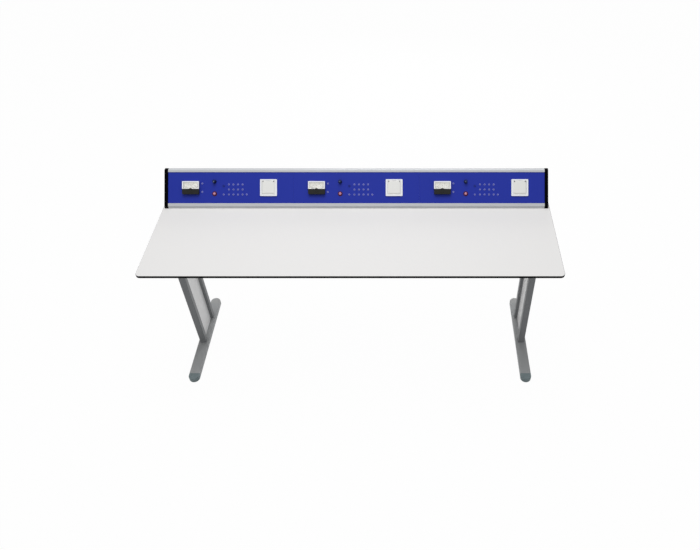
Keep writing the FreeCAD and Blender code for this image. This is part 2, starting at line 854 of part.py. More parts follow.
def make_outlet_lid():
    """Bevelled lid on its hinge knuckle, pocketed underneath."""
    under = insert_plate_thickness + lid_gap
    top = under + lid_thickness
    half = lid_width / 2
    section = [
        (-lid_drop, under),
        (-lid_drop, under + lid_edge_thickness),
        (-lid_drop + lid_front_bevel, top),
        (hinge_rise - lid_side_bevel, top),
        (hinge_rise, hinge_height + hinge_knuckle_radius),
        (hinge_rise, under),
    ]
    lid = extruded_along_x(section, (-half, half))
    lid = lid.fuse(rod_x(hinge_knuckle_radius, (-half, half), hinge_rise, hinge_height))
    edge = under + lid_edge_thickness
    for side in (-1, 1):
        wedge = Part.Face(Part.makePolygon([
            Vector(side * half, -lid_drop - overrun, edge),
            Vector(side * (half + overrun), -lid_drop - overrun, edge),
            Vector(side * (half + overrun), -lid_drop - overrun, top + overrun),
            Vector(side * (half - lid_side_bevel), -lid_drop - overrun, top + overrun),
            Vector(side * (half - lid_side_bevel), -lid_drop - overrun, top),
            Vector(side * half, -lid_drop - overrun, edge),
        ])).extrude(Vector(0, lid_drop + hinge_rise + hinge_knuckle_radius + 2 * overrun, 0))
        lid = lid.cut(wedge)
    pocket_high = hinge_rise - hinge_slot_reach - lid_pocket_wall / 2
    pocket = block(
        (-half + lid_pocket_wall, half - lid_pocket_wall),
        (-lid_drop + lid_pocket_wall + lid_edge_thickness, pocket_high),
        (under - overrun, under + lid_pocket_depth),
    )
    lid = lid.cut(pocket)
    slot_depth = (hinge_rise - hinge_slot_reach, hinge_rise + hinge_knuckle_radius + overrun)
    slot_span = (under - overrun, top + overrun)
    for side in (-1, 1):
        x = side * hinge_lug_offset
        lid = lid.cut(block((x - hinge_slot_width / 2, x + hinge_slot_width / 2), slot_depth, slot_span))
    spring_half = spring_length / 2 + hinge_relief
    spring_gap = hinge_pin_radius + hinge_bore_clearance + spring_wall + hinge_relief
    lid = lid.cut(block(
        (-spring_half, spring_half),
        (hinge_rise - spring_gap, hinge_rise + hinge_knuckle_radius + overrun),
        (under - overrun, hinge_height + spring_gap),
    ))
    reach = hinge_pin_length / 2 + hinge_relief
    lid = lid.cut(rod_x(hinge_pin_radius + hinge_bore_clearance, (-reach, reach), hinge_rise, hinge_height))
    return lid.removeSplitter()


def make_hinge_pin():
    half = hinge_pin_length / 2
    return rod_x(hinge_pin_radius, (-half, half), hinge_rise, hinge_height)


def make_lid_spring():
    """Torsion spring, as the sleeve that its coils fill round the pin."""
    half = spring_length / 2
    inner = hinge_pin_radius + hinge_bore_clearance
    sleeve = rod_x(inner + spring_wall, (-half, half), hinge_rise, hinge_height)
    return sleeve.cut(rod_x(inner, (-half - overrun, half + overrun), hinge_rise, hinge_height))


# Legs, modelled at the +X side

def tube_along_z(width, depth, wall, round_radius, z):
    outer = rounded_plate(width, depth, z, round_radius)
    inner = centred(width - 2 * wall, depth - 2 * wall, (z[0] - overrun, z[1] + overrun))
    return outer.cut(inner)


def make_post(y):
    post = tube_along_z(post_width, post_depth, post_wall, post_edge_round, (foot_top, arm_under))
    post.translate(Vector(leg_x, y + post_depth / 2, 0))
    for tab in infill_tabs():
        if abs(tab.BoundBox.Center.y - y - post_depth / 2) < column_depth / 2 - post_depth:
            post = post.fuse(tab)
    for hole in infill_screw_holes():
        post = post.cut(hole)
    return post.removeSplitter()


def infill_plane():
    """Outer face of the infill panel, which the tabs hold."""
    return leg_x - post_width / 2 + infill_recess + infill_thickness


def infill_tab_places():
    """Middle of each tab, as (y, z) with the side that its post is on."""
    gap_front = front_post_y + post_depth
    height = arm_under - foot_top
    rows = (foot_top + height * infill_tab_end_share, arm_under - height * infill_tab_end_share)
    places = []
    for z in rows:
        places.append((gap_front, 1, z))
        places.append((rear_post_y, -1, z))
    return places


def infill_tabs():
    x = infill_plane()
    tabs = []
    for y, side, z in infill_tab_places():
        reach = sorted((y - side * post_wall / 2, y + side * infill_tab_depth))
        rise = (z - infill_tab_width / 2, z + infill_tab_width / 2)
        tabs.append(block((x, x + infill_tab_thickness), reach, rise))
    return tabs


def infill_screw_places():
    return [(y + side * infill_tab_depth / 2, z) for y, side, z in infill_tab_places()]


def infill_screw_holes():
    x = infill_plane()
    span = (x - infill_thickness - overrun, x + infill_tab_thickness + overrun)
    radius = infill_screw_radius + hole_clearance
    return [rod_x(radius, span, y, z) for y, z in infill_screw_places()]


def make_infill_panel():
    x = infill_plane()
    panel = block(
        (x - infill_thickness, x),
        (front_post_y + post_depth + infill_side_gap, rear_post_y - infill_side_gap),
        (foot_top, arm_under),
    )
    for y, z in infill_screw_places():
        radius = infill_screw_radius + hole_clearance
        bite = (x - infill_thickness / 2, x + overrun)
        panel = panel.cut(rod_x(radius, bite, y, z))
    return panel


def make_infill_screws():
    x = infill_plane()
    seat = x + infill_tab_thickness
    screws = []
    for y, z in infill_screw_places():
        shank = rod_x(infill_screw_radius, (x - infill_thickness / 2 + hole_clearance, seat), y, z)
        head = rod_x(infill_screw_head_radius, (seat, seat + infill_screw_head_height), y, z)
        screw = shank.fuse(head)
        screws.append(screw)
        screws.append(mirrored(screw))
    return group(screws)


def tube_along_y(width, height, wall, round_radius, y, z):
    tube = block((leg_x - width / 2, leg_x + width / 2), y, (z, z + height))
    long_edges = [edge for edge in tube.Edges if is_along(edge, Vector(0, 1, 0))]
    tube = tube.makeFillet(round_radius, long_edges)
    inside = block(
        (leg_x - width / 2 + wall, leg_x + width / 2 - wall),
        (y[0] - overrun, y[1] + overrun),
        (z + wall, z + height - wall),
    )
    return tube.cut(inside)


def make_foot_bar():
    cap = cap_radius + foot_cap_straight
    return tube_along_y(
        foot_width, foot_height, foot_wall, foot_edge_round,
        (foot_front + cap, foot_rear - cap), foot_base,
    )


def make_foot_cap_front():
    """Round-nosed end cap with its spigot and the blind hole for the stem."""
    centre = foot_front + cap_radius
    joint = centre + foot_cap_straight
    z = (foot_base, foot_top)
    nose = rod(cap_radius, z, leg_x, centre)
    nose = nose.common(block((leg_x - cap_radius, leg_x + cap_radius), (foot_front, centre), z))
    straight = block((leg_x - cap_radius, leg_x + cap_radius), (centre, joint), z)
    cap = nose.fuse(straight).removeSplitter()
    rims = []
    for edge in edges_at_height(cap, z[0]) + edges_at_height(cap, z[1]):
        if abs(edge.BoundBox.YMin - joint) > overrun:
            rims.append(edge)
    cap = cap.makeFillet(foot_edge_round, rims)
    gap = foot_wall + foot_cap_clearance
    spigot = block(
        (leg_x - cap_radius + gap, leg_x + cap_radius - gap),
        (joint, joint + foot_cap_spigot),
        (z[0] + gap, z[1] - gap),
    )
    stem_top = foot_base + foot_stem_length + foot_stem_clearance
    stem_hole = rod(foot_stem_radius + foot_stem_clearance, (z[0] - overrun, stem_top), leg_x, centre)
    return cap.fuse(spigot).cut(stem_hole).removeSplitter()


def make_foot_cap_rear():
    """The same cap, turned round at the rear end."""
    cap = make_foot_cap_front()
    cap.rotate(Vector(leg_x, (foot_front + foot_rear) / 2, 0), Vector(0, 0, 1), 180)
    return cap


def make_levelling_foot(y):
    pad = rod(pad_radius, (0, pad_thickness), leg_x, y)
    pad = pad.makeFillet(pad_edge_round, edges_at_height(pad, pad_thickness))
    stem = rod(foot_stem_radius, (pad_thickness, pad_thickness + foot_stem_length), leg_x, y)
    return pad.fuse(stem)


def beam_bolt_places():
    z = worktop_under - beam_height / 2
    return [(beam_front_y, z), (beam_rear_y, z)]


def make_top_arm():
    arm = tube_along_y(
        post_width, arm_height, arm_wall, arm_wall, (-arm_length / 2, arm_length / 2), arm_under,
    )
    for x, y in worktop_screw_places():
        if x > 0:
            through = (arm_under - overrun, worktop_under + overrun)
            arm = arm.cut(rod(worktop_screw_radius + hole_clearance, through, x, y))
    span = (leg_x - post_width / 2 - overrun, leg_x + post_width / 2 + overrun)
    for y, z in beam_bolt_places():
        arm = arm.cut(rod_x(beam_bolt_radius + hole_clearance, span, y, z))
    return arm


def make_beam(y):
    """Tube between the arms, with a tapped plug welded in each end."""
    end = leg_x - post_width / 2
    low = worktop_under - beam_height
    depth = (y - beam_depth / 2, y + beam_depth / 2)
    beam = block((-end, end), depth, (low, worktop_under))
    inside = block(
        (-end + beam_plug_length, end - beam_plug_length),
        (depth[0] + beam_wall, depth[1] - beam_wall),
        (low + beam_wall, worktop_under - beam_wall),
    )
    beam = beam.cut(inside)
    for side in (-1, 1):
        span = sorted((side * (end + overrun), side * (end - beam_plug_length - overrun)))
        radius = beam_bolt_radius + hole_clearance / 2
        beam = beam.cut(rod_x(radius, span, y, worktop_under - beam_height / 2))
    return beam


def make_beam_bolts():
    seat = leg_x + post_width / 2
    tip = leg_x - post_width / 2 - beam_plug_length
    bolts = []
    for y, z in beam_bolt_places():
        head = hexagon(beam_bolt_head_radius, (0, beam_bolt_head_height))
        head.rotate(Vector(0, 0, 0), Vector(0, 1, 0), 90)
        head.translate(Vector(seat, y, z))
        bolt = rod_x(beam_bolt_radius, (tip, seat), y, z).fuse(head)
        bolts.append(bolt)
        bolts.append(mirrored(bolt))
    return group(bolts)


def make_worktop_screws():
    screws = []
    for x, y in worktop_screw_places():
        shank = rod(worktop_screw_radius, (arm_under, worktop_under + worktop_screw_bite), x, y)
        head = rod(worktop_screw_head_radius, (arm_under - worktop_screw_head_height, arm_under), x, y)
        screws.append(shank.fuse(head))
    return group(screws)


# Write every node

def save_pair(name, shape):
    """Write a piece of the right-hand leg and its left-hand twin."""
    save(name + "_right", shape)
    save(name + "_left", mirrored(shape))


def build_worktop_and_frame():
    save("worktop", make_worktop())
    save("worktop_screws", make_worktop_screws())
    save("beam_front", make_beam(beam_front_y))
    save("beam_rear", make_beam(beam_rear_y))
    save("beam_bolts", make_beam_bolts())


def build_legs():
    save_pair("top_arm", make_top_arm())
    save_pair("front_post", make_post(front_post_y))
    save_pair("rear_post", make_post(rear_post_y))
    save_pair("infill_panel", make_infill_panel())
    save("infill_screws", make_infill_screws())
    save_pair("foot_bar", make_foot_bar())
    for end, cap in (("front", make_foot_cap_front()), ("rear", make_foot_cap_rear())):
        save("foot_caps_" + end, group([cap, mirrored(cap)]))
    for end, y in (("front", foot_front + cap_radius), ("rear", foot_rear - cap_radius)):
        save_pair("levelling_foot_" + end, make_levelling_foot(y))


def build_console():
    save("console_housing", make_console_housing())
    end_cap = make_end_cap()
    save("end_cap_right", end_cap)
    save("end_cap_left", mirrored(end_cap))
    save("end_cap_screws", make_end_cap_screws())
    save("console_fixings", make_console_fixings())
    save("cable_gland", make_cable_gland())
    save("supply_units", make_supply_units())


def build_stations():
    one_each = {
        "module_panel": (make_module_panel(), 0.0, 0.0),
        "meter_case": (make_meter_case(), meter_offset, meter_rise),
        "meter_pointer": (make_meter_pointer(), meter_offset, meter_rise),
        "control_knob": (make_control_knob(), control_offset, control_spread),
        "push_button": (make_push_button(), control_offset, -control_spread),
        "outlet_insert": (make_outlet_insert(), outlet_offset, 0.0),
        "outlet_lid": (make_outlet_lid(), outlet_offset, 0.0),
    }
    for name, (shape, x, slope) in one_each.items():
        for index in range(station_count):
            save(name + "_" + str(index + 1), on_station(shape, index, x, slope))
    shared = {
        "meter_windows": (make_meter_window(), meter_offset, meter_rise),
        "meter_dials": (make_meter_dial(), meter_offset, meter_rise),
        "control_bodies": (make_control_body(), control_offset, control_spread),
        "button_bezels": (make_button_bezel(), control_offset, -control_spread),
        "fuse_caps": (make_fuse_cap(), fuse_offset, fuse_rise),
        "outlet_frames": (make_outlet_frame(), outlet_offset, 0.0),
        "lid_hinge_pins": (make_hinge_pin(), outlet_offset, 0.0),
        "lid_springs": (make_lid_spring(), outlet_offset, 0.0),
    }
    for name, (shape, x, slope) in shared.items():
        save(name, group(on_every_station(shape, x, slope)))
    sockets = []
    nuts = []
    for x, slope in socket_places():
        sockets.extend(on_every_station(make_test_socket(), x, slope))
        nuts.extend(on_every_station(make_socket_nut(), x, slope))
    save("test_sockets", group(sockets))
    save("socket_nuts", group(nuts))


os.makedirs("parts", exist_ok=True)
build_worktop_and_frame()
build_legs()
build_console()
build_stations()
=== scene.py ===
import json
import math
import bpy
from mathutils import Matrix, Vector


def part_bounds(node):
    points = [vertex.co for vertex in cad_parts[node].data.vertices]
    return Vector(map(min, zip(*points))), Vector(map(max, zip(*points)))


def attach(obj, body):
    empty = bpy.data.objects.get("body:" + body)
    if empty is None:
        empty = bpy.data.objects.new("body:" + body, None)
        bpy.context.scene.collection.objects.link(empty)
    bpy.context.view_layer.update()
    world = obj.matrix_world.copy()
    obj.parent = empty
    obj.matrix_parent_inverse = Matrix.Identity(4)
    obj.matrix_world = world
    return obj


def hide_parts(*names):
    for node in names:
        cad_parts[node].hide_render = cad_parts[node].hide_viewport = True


bl_info = {
    "name": "Science Lab Table",
    "version": (1, 0, 0),
    "blender": (4, 5, 0),
    "location": "View3D > Sidebar > Lab Table",
    "description": "Looks of a laboratory table with a supply console, made around its packed frame",
    "category": "Object",
}

import bmesh
import bpy
from bpy.props import FloatProperty, FloatVectorProperty, IntProperty, PointerProperty
from mathutils import Matrix, Vector

# The fixed frame, and what its record says about joints and mounts
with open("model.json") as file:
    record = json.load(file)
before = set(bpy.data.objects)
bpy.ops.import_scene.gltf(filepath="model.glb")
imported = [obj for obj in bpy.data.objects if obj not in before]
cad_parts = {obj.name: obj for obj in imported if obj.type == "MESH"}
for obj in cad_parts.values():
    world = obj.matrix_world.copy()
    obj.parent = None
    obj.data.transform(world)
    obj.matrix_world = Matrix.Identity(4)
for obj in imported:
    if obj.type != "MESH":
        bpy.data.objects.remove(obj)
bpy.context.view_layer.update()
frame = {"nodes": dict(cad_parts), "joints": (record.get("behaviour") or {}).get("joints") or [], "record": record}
nodes = frame["nodes"]
joints = {joint["name"]: joint for joint in frame["joints"]}
mounts = {mount["name"]: mount for mount in frame["record"]["mounts"]}

MM = 0.001
WELD = 0.000001
SPECULAR = "Specular IOR Level"
STATIONS = (1, 2, 3)
ALONG = Vector((1, 0, 0))
OUTWARD = -Vector(joints["knob_1_turn"]["axis"])
UP_SLOPE = OUTWARD.cross(ALONG)
STATION_PITCH = Vector(joints["knob_2_turn"]["pos_m"]).x - Vector(joints["knob_1_turn"]["pos_m"]).x


# Properties: what a user would change

def linear(code):
    """Linear red, green and blue of an sRGB hex value."""
    shares = [int(code[place:place + 2], 16) / 255 for place in (0, 2, 4)]
    return tuple(s / 12.92 if s <= 0.04045 else ((s + 0.055) / 1.055) ** 2.4 for s in shares)


def size_of(name, use, millimetres):
    """Length property with its default in millimetres."""
    return FloatProperty(
        name=name, description=use, default=millimetres * MM, min=0.0, precision=4, unit="LENGTH",
    )


def colour_of(name, use, code):
    """Colour property with its default as an sRGB hex value."""
    return FloatVectorProperty(
        name=name, description=use, default=linear(code), min=0.0, max=1.0, size=3, subtype="COLOR",
    )


class LabTableSizes(bpy.types.PropertyGroup):
    """Detail sizes that the frame's boxes don't give."""

    laminate_face: size_of("Laminate face", "Depth of the white face over the black core", 0.12)
    meter_base: size_of("Meter base", "Thickness of the meter's base plate", 3.0)
    meter_rim_side: size_of("Meter rim, sides", "Width of the white rim beside the dial", 4.6)
    meter_rim_top: size_of("Meter rim, top", "Width of the white rim above the dial", 4.6)
    meter_rim_low: size_of("Meter rim, bottom", "Width of the white rim over the hood", 1.5)
    meter_rim_depth: size_of("Meter rim depth", "How far the white rim reaches down the case", 4.5)
    meter_wall: size_of("Meter wall", "Wall of the meter's case", 2.0)
    meter_corner: size_of("Meter corner, top", "Rounding of the case's upper corners", 1.5)
    meter_boss: size_of("Meter boss", "Radius of the boss over the pointer's staff", 10.5)
    meter_barrel: size_of("Meter barrel", "Radius of the meter's barrel behind the panel", 27.0)
    zero_screw: size_of("Zero screw", "Radius of the zero adjusting screw", 2.6)
    scale_radius: size_of("Scale radius", "Radius of the printed arc about the pivot", 29.5)
    scale_line: size_of("Scale line", "Width of the printed lines", 0.3)
    figure_height: size_of("Figure height", "Height of the printed figures", 3.2)
    socket_contact: size_of("Socket contact", "Wall of the metal sleeve in a test socket", 0.35)
    case_corner: size_of("Meter corner, bottom", "Rounding of the hood's lower corners", 5.0)
    knob_skirt: size_of("Knob skirt", "Height of the plain skirt under the grip", 2.8)
    knob_flute: size_of("Knob flute", "Depth of the flutes round the grip", 0.35)
    frame_gap: size_of("Outlet gap", "Gap between an outlet's insert and its frame", 0.3)
    frame_round: size_of("Outlet frame round", "Rounding of the frame's outer upper edge", 2.5)
    lid_edge: size_of("Lid edge", "Thickness of the lid's rim under its bevels", 0.5)
    lid_side_bevel: size_of("Lid bevel, sides", "Width of the lid's side bevels", 5.5)
    lid_front_bevel: size_of("Lid bevel, front", "Width of the lid's lower bevel", 7.0)
    lid_wall: size_of("Lid wall", "Wall round the pocket under the lid", 5.0)
    lug_offset: size_of("Hinge lugs", "How far the hinge's lugs stand from the middle", 25.0)
    lug_width: size_of("Lug width", "Width of a hinge lug", 2.4)
    lug_slot: size_of("Lug slot", "Width of the slot round a hinge lug", 4.8)
    thread_pitch: size_of("Thread pitch", "Pitch of the levelling feet's threads", 1.25)
    # The button's paler middle is a painted highlight on its lens
    diffuser_step: size_of("Highlight rise", "How far the button's middle stands over its lens", 0.08)
    diffuser_share: FloatProperty(
        name="Highlight reach", description="Radius of the button's middle over that of its lens",
        default=0.8, min=0.1, max=0.95, subtype="FACTOR",
    )
    spring_wire: size_of("Spring wire", "Diameter of the lid springs' wire", 0.42)
    knob_flutes: IntProperty(
        name="Knob flutes", description="Number of flutes round the grip", default=18, min=6,
    )


class LabTableFinishes(bpy.types.PropertyGroup):
    """Colours of the table's finishes."""

    laminate: colour_of("Laminate", "White decor face of the worktop", "ebeae9")
    core: colour_of("Core", "Black core of the worktop", "070708")
    steel: colour_of("Frame", "Powder coat of the legs and beams", "8a8c8e")
    # The foot bars' colour is the frame's coat painted lighter: painted light on the foot bars
    foot: colour_of("Foot bar", "Lighter coat of the foot bars", "b0b2b3")
    # The rear caps' light grey is painted light for the brighter rear ends
    rear_cap: colour_of("Rear foot cap", "Light plastic of the foot bars' rear caps", "b3b4b4")
    infill: colour_of("Infill", "Powder coat of the leg infill panels", "ffffff")
    foot_cap: colour_of("Foot cap", "Plastic of the foot bars' caps", "829093")
    aluminium: colour_of("Aluminium", "Anodised console profile", "c6c8cb")
    panel: colour_of("Panel", "Blue powder coat of the module panels", "2535a2")
    black: colour_of("Black plastic", "End caps of the console", "030304")
    bezel: colour_of("Bezel", "Ring round the push buttons", "480a2e")
    meter: colour_of("Meter black", "Meter case and hood", "232322")
    dial: colour_of("Dial", "Card behind the pointer", "c7c6c0")
    white: colour_of("White plastic", "Outlet frames and meter rims", "fafbff")
    lid: colour_of("Lid", "Cream plastic of the outlet lids", "f3f3f0")
    socket: colour_of("Socket", "Collars of the test sockets", "8e90da")
    lens: colour_of("Lens", "Red lens of the push buttons", "640c2a")
    # Pale pink of the painted highlight on the push buttons' lenses
    diffuser: colour_of("Diffuser", "Paler middle of the push buttons", "c8829a")
    fuse: colour_of("Fuse cap", "Dark blue cap of the fuse holder", "1f2c86")
    ink: colour_of("Ink", "Printing on the dial", "3a3a3c")


class LabTableStage(bpy.types.PropertyGroup):
    """Camera, lamps and floor."""

    camera_place: FloatVectorProperty(
        name="Camera place", description="Where the photograph was taken from",
        default=(0.2581, -2.2513, 2.6762), size=3, subtype="TRANSLATION", unit="LENGTH",
    )
    camera_tilt: FloatProperty(
        name="Camera tilt", description="How far the camera looks down from level",
        default=math.radians(44.51), subtype="ANGLE", unit="ROTATION",
    )
    focal_pixels: FloatProperty(
        name="Focal length in pixels", description="Focal length over the size of a pixel", default=657.79,
    )
    axis_pixel: FloatProperty(
        name="Axis pixel", description="Column of the photograph that the camera's axis meets",
        default=411.91,
    )
    key_power: FloatProperty(
        name="Key light", description="Power of the large soft light above", default=98.0, unit="POWER",
    )
    back_power: FloatProperty(
        name="Back light", description="Power of the soft light behind the table", default=40.0, unit="POWER",
    )
    sky_strength: FloatProperty(
        name="Sky", description="Strength of the light from all round", default=0.38,
    )
    floor_radius: FloatProperty(
        name="Floor radius", description="Radius of the pale floor", default=12.0, unit="LENGTH",
    )
    floor_white: FloatProperty(
        name="Floor white", description="Share of the floor that shows as plain white", default=0.98,
        min=0.0, max=1.0, subtype="FACTOR",
    )


# Places in the frame

def station_place(station):
    """Matrix from a station's own axes to the table's: X along, Y up the slope, Z out of the panel."""
    panel = f"module_panel_{station}"
    low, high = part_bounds(panel)
    middle = (low + high) / 2
    reach = max(vertex.co.dot(OUTWARD) for vertex in nodes[panel].data.vertices)
    origin = middle + OUTWARD * (reach - middle.dot(OUTWARD))
    turn = Matrix((ALONG, UP_SLOPE, OUTWARD)).transposed().to_4x4()
    return Matrix.Translation(origin) @ turn


def corners(points):
    """Lowest and highest corner of some points."""
    points = list(points)
    low = Vector(min(point[axis] for point in points) for axis in range(3))
    high = Vector(max(point[axis] for point in points) for axis in range(3))
    return low, high


def solids(node, place=None):
    """Corners of each separate solid of a CAD node, in a place's own axes."""
    bm = bmesh.new()
    bm.from_mesh(nodes[node].data)
    bmesh.ops.remove_doubles(bm, verts=bm.verts, dist=WELD)
    bm.transform((place or Matrix()).inverted())
    boxes = []
    for seed in bm.verts:
        if seed.tag:
            continue
        seed.tag = True
        shell = [seed]
        for vertex in shell:
            for edge in vertex.link_edges:
                other = edge.other_vert(vertex)
                if not other.tag:
                    other.tag = True
                    shell.append(other)
        boxes.append(corners(vertex.co for vertex in shell))
    bm.free()
    return boxes


def part_box(node, station):
    """Corners of a station's share of a CAD node, in the station's own axes."""
    boxes = solids(node, station_place(station))
    own = [box for box in boxes if abs(box[0].x + box[1].x) < STATION_PITCH]
    return corners([box[0] for box in own] + [box[1] for box in own])


def seat(node, station):
    """Corners and radius of a station's part, and the place of its middle on the panel."""
    low, high = part_box(node, station)
    centre = (low + high) / 2
    return low, high, (high.x - low.x) / 2, station_place(station) @ at(centre.x, centre.y)


def on_station(station, point):
    """A point of the table's frame, in a station's own axes."""
    return station_place(station).inverted() @ Vector(point)


def mouth_of(mount):
    """Where a bore opens, and its radius and depth; its mount stands halfway down it."""
    depth = mount["dims"]["length_mm"] * MM
    return Vector(mount["pos_m"]) + Vector(mount["axis"]) * depth / 2, mount["dims"]["r_mm"] * MM, depth


def facing(point, axis):
    """Matrix that stands a piece made along Z at a point, along an axis."""
    return Matrix.Translation(point) @ Vector(axis).to_track_quat("Z", "Y").to_matrix().to_4x4()


def at(x, y, z=0.0):
    return Matrix.Translation((x, y, z))


# Shapes in mesh code

def soften(bm, edges, radius, steps=3):
    """Round some edges."""
    bmesh.ops.bevel(
        bm, geom=edges, offset=radius, segments=steps, profile=0.5, affect="EDGES", material=-1,
        clamp_overlap=True,
    )
    return bm


def edges_where(bm, test):
    """Edges whose two ends both pass a test."""
    return [edge for edge in bm.edges if all(test(vertex.co) for vertex in edge.verts)]


def edges_at(bm, height):
    return edges_where(bm, lambda point: abs(point.z - height) < WELD)


def standing(bm):
    """Edges along Z."""
    return [edge for edge in bm.edges if (edge.verts[0].co - edge.verts[1].co).xy.length < WELD]


def block(low, high, upright=0.0, rim=0.0, steps=4):
    """Box between two corners; upright rounds its standing edges and rim its upper ones."""
    low, high = Vector(low), Vector(high)
    bm = bmesh.new()
    stretch = Matrix.Diagonal((*(high - low), 1.0))
    bmesh.ops.create_cube(bm, size=1.0, matrix=Matrix.Translation((low + high) / 2) @ stretch)
    if upright:
        soften(bm, standing(bm), upright, steps)
    if rim:
        soften(bm, edges_at(bm, high.z), rim, steps)
    return bm


def prism(sides, radius, low, high, rim=0.0, steps=2):
    """Upright prism, its radius taken to the corners."""
    bm = bmesh.new()
    bmesh.ops.create_cone(
        bm, cap_ends=True, segments=sides, radius1=radius, radius2=radius, depth=high - low,
        matrix=at(0, 0, (low + high) / 2),
    )
    if rim:
        soften(bm, edges_at(bm, high), rim, steps)
    return bm


def spun(profile, weld, closed=False, **way):
    """Mesh that a line of (radius, height) points leaves as it turns about Z."""
    bm = bmesh.new()
    line = [bm.verts.new((radius, 0, height)) for radius, height in profile]
    ends = line[1:] + line[:1] if closed else line[1:]
    edges = [bm.edges.new(pair) for pair in zip(line, ends)]
    bmesh.ops.spin(bm, geom=line + edges, cent=(0, 0, 0), axis=(0, 0, 1), **way)
    bmesh.ops.remove_doubles(bm, verts=bm.verts, dist=weld)
    bmesh.ops.recalc_face_normals(bm, faces=bm.faces)
    return bm


def turned(profile, steps=48, closed=False):
    """Shape turned about Z; an open profile starts and ends on the axis."""
    return spun(profile, WELD, closed, angle=math.tau, steps=steps, use_merge=True)


def arc(centre, radius, start, end, steps):
    """Points of an arc in a profile, its angles in degrees from the outward direction."""
    points = []
    for step in range(steps + 1):
        turn = math.radians(start + (end - start) * step / steps)
        points.append((centre[0] + radius * math.cos(turn), centre[1] + radius * math.sin(turn)))
    return points


def coil(section, turns, pitch, steps):
    """Helix about Z that a section leaves as it turns and climbs."""
    way = {"dvec": (0, 0, pitch / steps), "angle": math.tau * turns, "steps": round(steps * turns)}
    bm = spun(section, 10 * WELD, **way)
    bmesh.ops.holes_fill(bm, edges=[edge for edge in bm.edges if edge.is_boundary])
    bmesh.ops.recalc_face_normals(bm, faces=bm.faces)
    return bm


def lift(bm, raised, way):
    """Move the vertices that an extrusion made."""
    far = [item for item in raised if isinstance(item, bmesh.types.BMVert)]
    bmesh.ops.translate(bm, verts=far, vec=way)


def drawn(section, start, width):
    """Solid that a section of (y, z) points leaves as it is drawn along X."""
    bm = bmesh.new()
    side = bm.faces.new([bm.verts.new((start, y, z)) for y, z in section])
    lift(bm, bmesh.ops.extrude_face_region(bm, geom=[side])["geom"], (width, 0, 0))
    bmesh.ops.recalc_face_normals(bm, faces=bm.faces)
    return bm


def flute(bm, count, depth, low, high, inner):
    """Press flutes into a turned shape between two heights."""
    for vertex in bm.verts:
        radius = vertex.co.xy.length
        if low < vertex.co.z < high and radius > inner:
            turn = math.atan2(vertex.co.y, vertex.co.x)
            inward = depth * (0.5 - 0.5 * math.cos(count * turn))
            vertex.co.xy *= (radius - inward) / radius
    return bm


def placed(bm, *matrices):
    """Move a shape by some matrices, the last one first."""
    for matrix in reversed(matrices):
        bm.transform(matrix)
    return bm


def joined(*parts):
    """One shape that holds several separate shells."""
    whole = bmesh.new()
    for part in parts:
        mesh = bpy.data.meshes.new("part")
        part.to_mesh(mesh)
        part.free()
        whole.from_mesh(mesh)
        bpy.data.meshes.remove(mesh)
    return whole


def scratch_object(bm):
    mesh = bpy.data.meshes.new("scratch")
    bm.to_mesh(mesh)
    bm.free()
    scratch = bpy.data.objects.new("scratch", mesh)
    bpy.context.scene.collection.objects.link(scratch)
    return scratch


def carved(bm, *cutters):
    """A solid without its cutters."""
    body = scratch_object(bm)
    tools = [scratch_object(cutter) for cutter in cutters]
    for tool in tools:
        cut = body.modifiers.new("cut", "BOOLEAN")
        cut.operation = "DIFFERENCE"
        cut.solver = "EXACT"
        cut.object = tool
    depsgraph = bpy.context.evaluated_depsgraph_get()
    mesh = bpy.data.meshes.new_from_object(body.evaluated_get(depsgraph))
    result = bmesh.new()
    result.from_mesh(mesh)
    bpy.data.meshes.remove(mesh)
    for scratch in [body] + tools:
        bpy.data.meshes.remove(scratch.data)
    return result


def shelled(bm, open_faces, wall):
    """Hollow box: take some faces away and give the rest a wall inwards."""
    bmesh.ops.delete(bm, geom=open_faces, context="FACES")
    bmesh.ops.recalc_face_normals(bm, faces=bm.faces)
    bmesh.ops.solidify(bm, geom=bm.faces, thickness=wall)
    return bm


def sheet(width, height):
    """Flat rectangle about the origin."""
    bm = bmesh.new()
    bmesh.ops.create_grid(bm, x_segments=1, y_segments=1, size=0.5)
    return placed(bm, Matrix.Diagonal((width, height, 1, 1)))


def printed_text(words, height, point, turn=0.0):
    """Flat letters centred on a point; their height is that of a capital."""
    curve = bpy.data.curves.new("words", "FONT")
    curve.body = words
    curve.size = height / 0.7
    curve.align_x = "CENTER"
    curve.align_y = "CENTER"
    curve.resolution_u = 3
    holder = bpy.data.objects.new("words", curve)
    bpy.context.scene.collection.objects.link(holder)
    depsgraph = bpy.context.evaluated_depsgraph_get()
    mesh = bpy.data.meshes.new_from_object(holder.evaluated_get(depsgraph))
    bm = bmesh.new()
    bm.from_mesh(mesh)
    bpy.data.meshes.remove(mesh)
    bpy.data.curves.remove(curve)
    return placed(bm, Matrix.Translation(point), Matrix.Rotation(turn, 4, "Z"))


def piece(name, bm, body, slot, place=None, material=None, replaces=(), sharp=35.0):
    """Finished object in the table's own frame that rides on a body."""
    bm.transform(place or Matrix())
    mesh = bpy.data.meshes.new(name)
    bm.to_mesh(mesh)
    bm.free()
    mesh.shade_smooth()
    mesh.set_sharp_from_angle(angle=math.radians(sharp))
    mesh.materials.append(finish(material or slot))
    made = bpy.data.objects.new(name, mesh)
    bpy.context.scene.collection.objects.link(made)
    even = made.modifiers.new("even shading", "WEIGHTED_NORMAL")
    even.keep_sharp = True
    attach(made, body)
    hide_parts(*replaces)
    return made


# Materials

def add(material, kind, sockets=None, **settings):
    """Add a node with its own settings, and fill its sockets with values or links."""
    node = material.node_tree.nodes.new("ShaderNode" + kind)
    for name, value in settings.items():
        setattr(node, name, value)
    for name, value in (sockets or {}).items():
        if isinstance(value, bpy.types.NodeSocket):
            material.node_tree.links.new(value, node.inputs[name])
        else:
            node.inputs[name].default_value = value
    return node


def opaque(colour, share=1.0):
    """Colour with its alpha, made darker or lighter by a share."""
    return (*(min(1.0, channel * share) for channel in colour), 1.0)


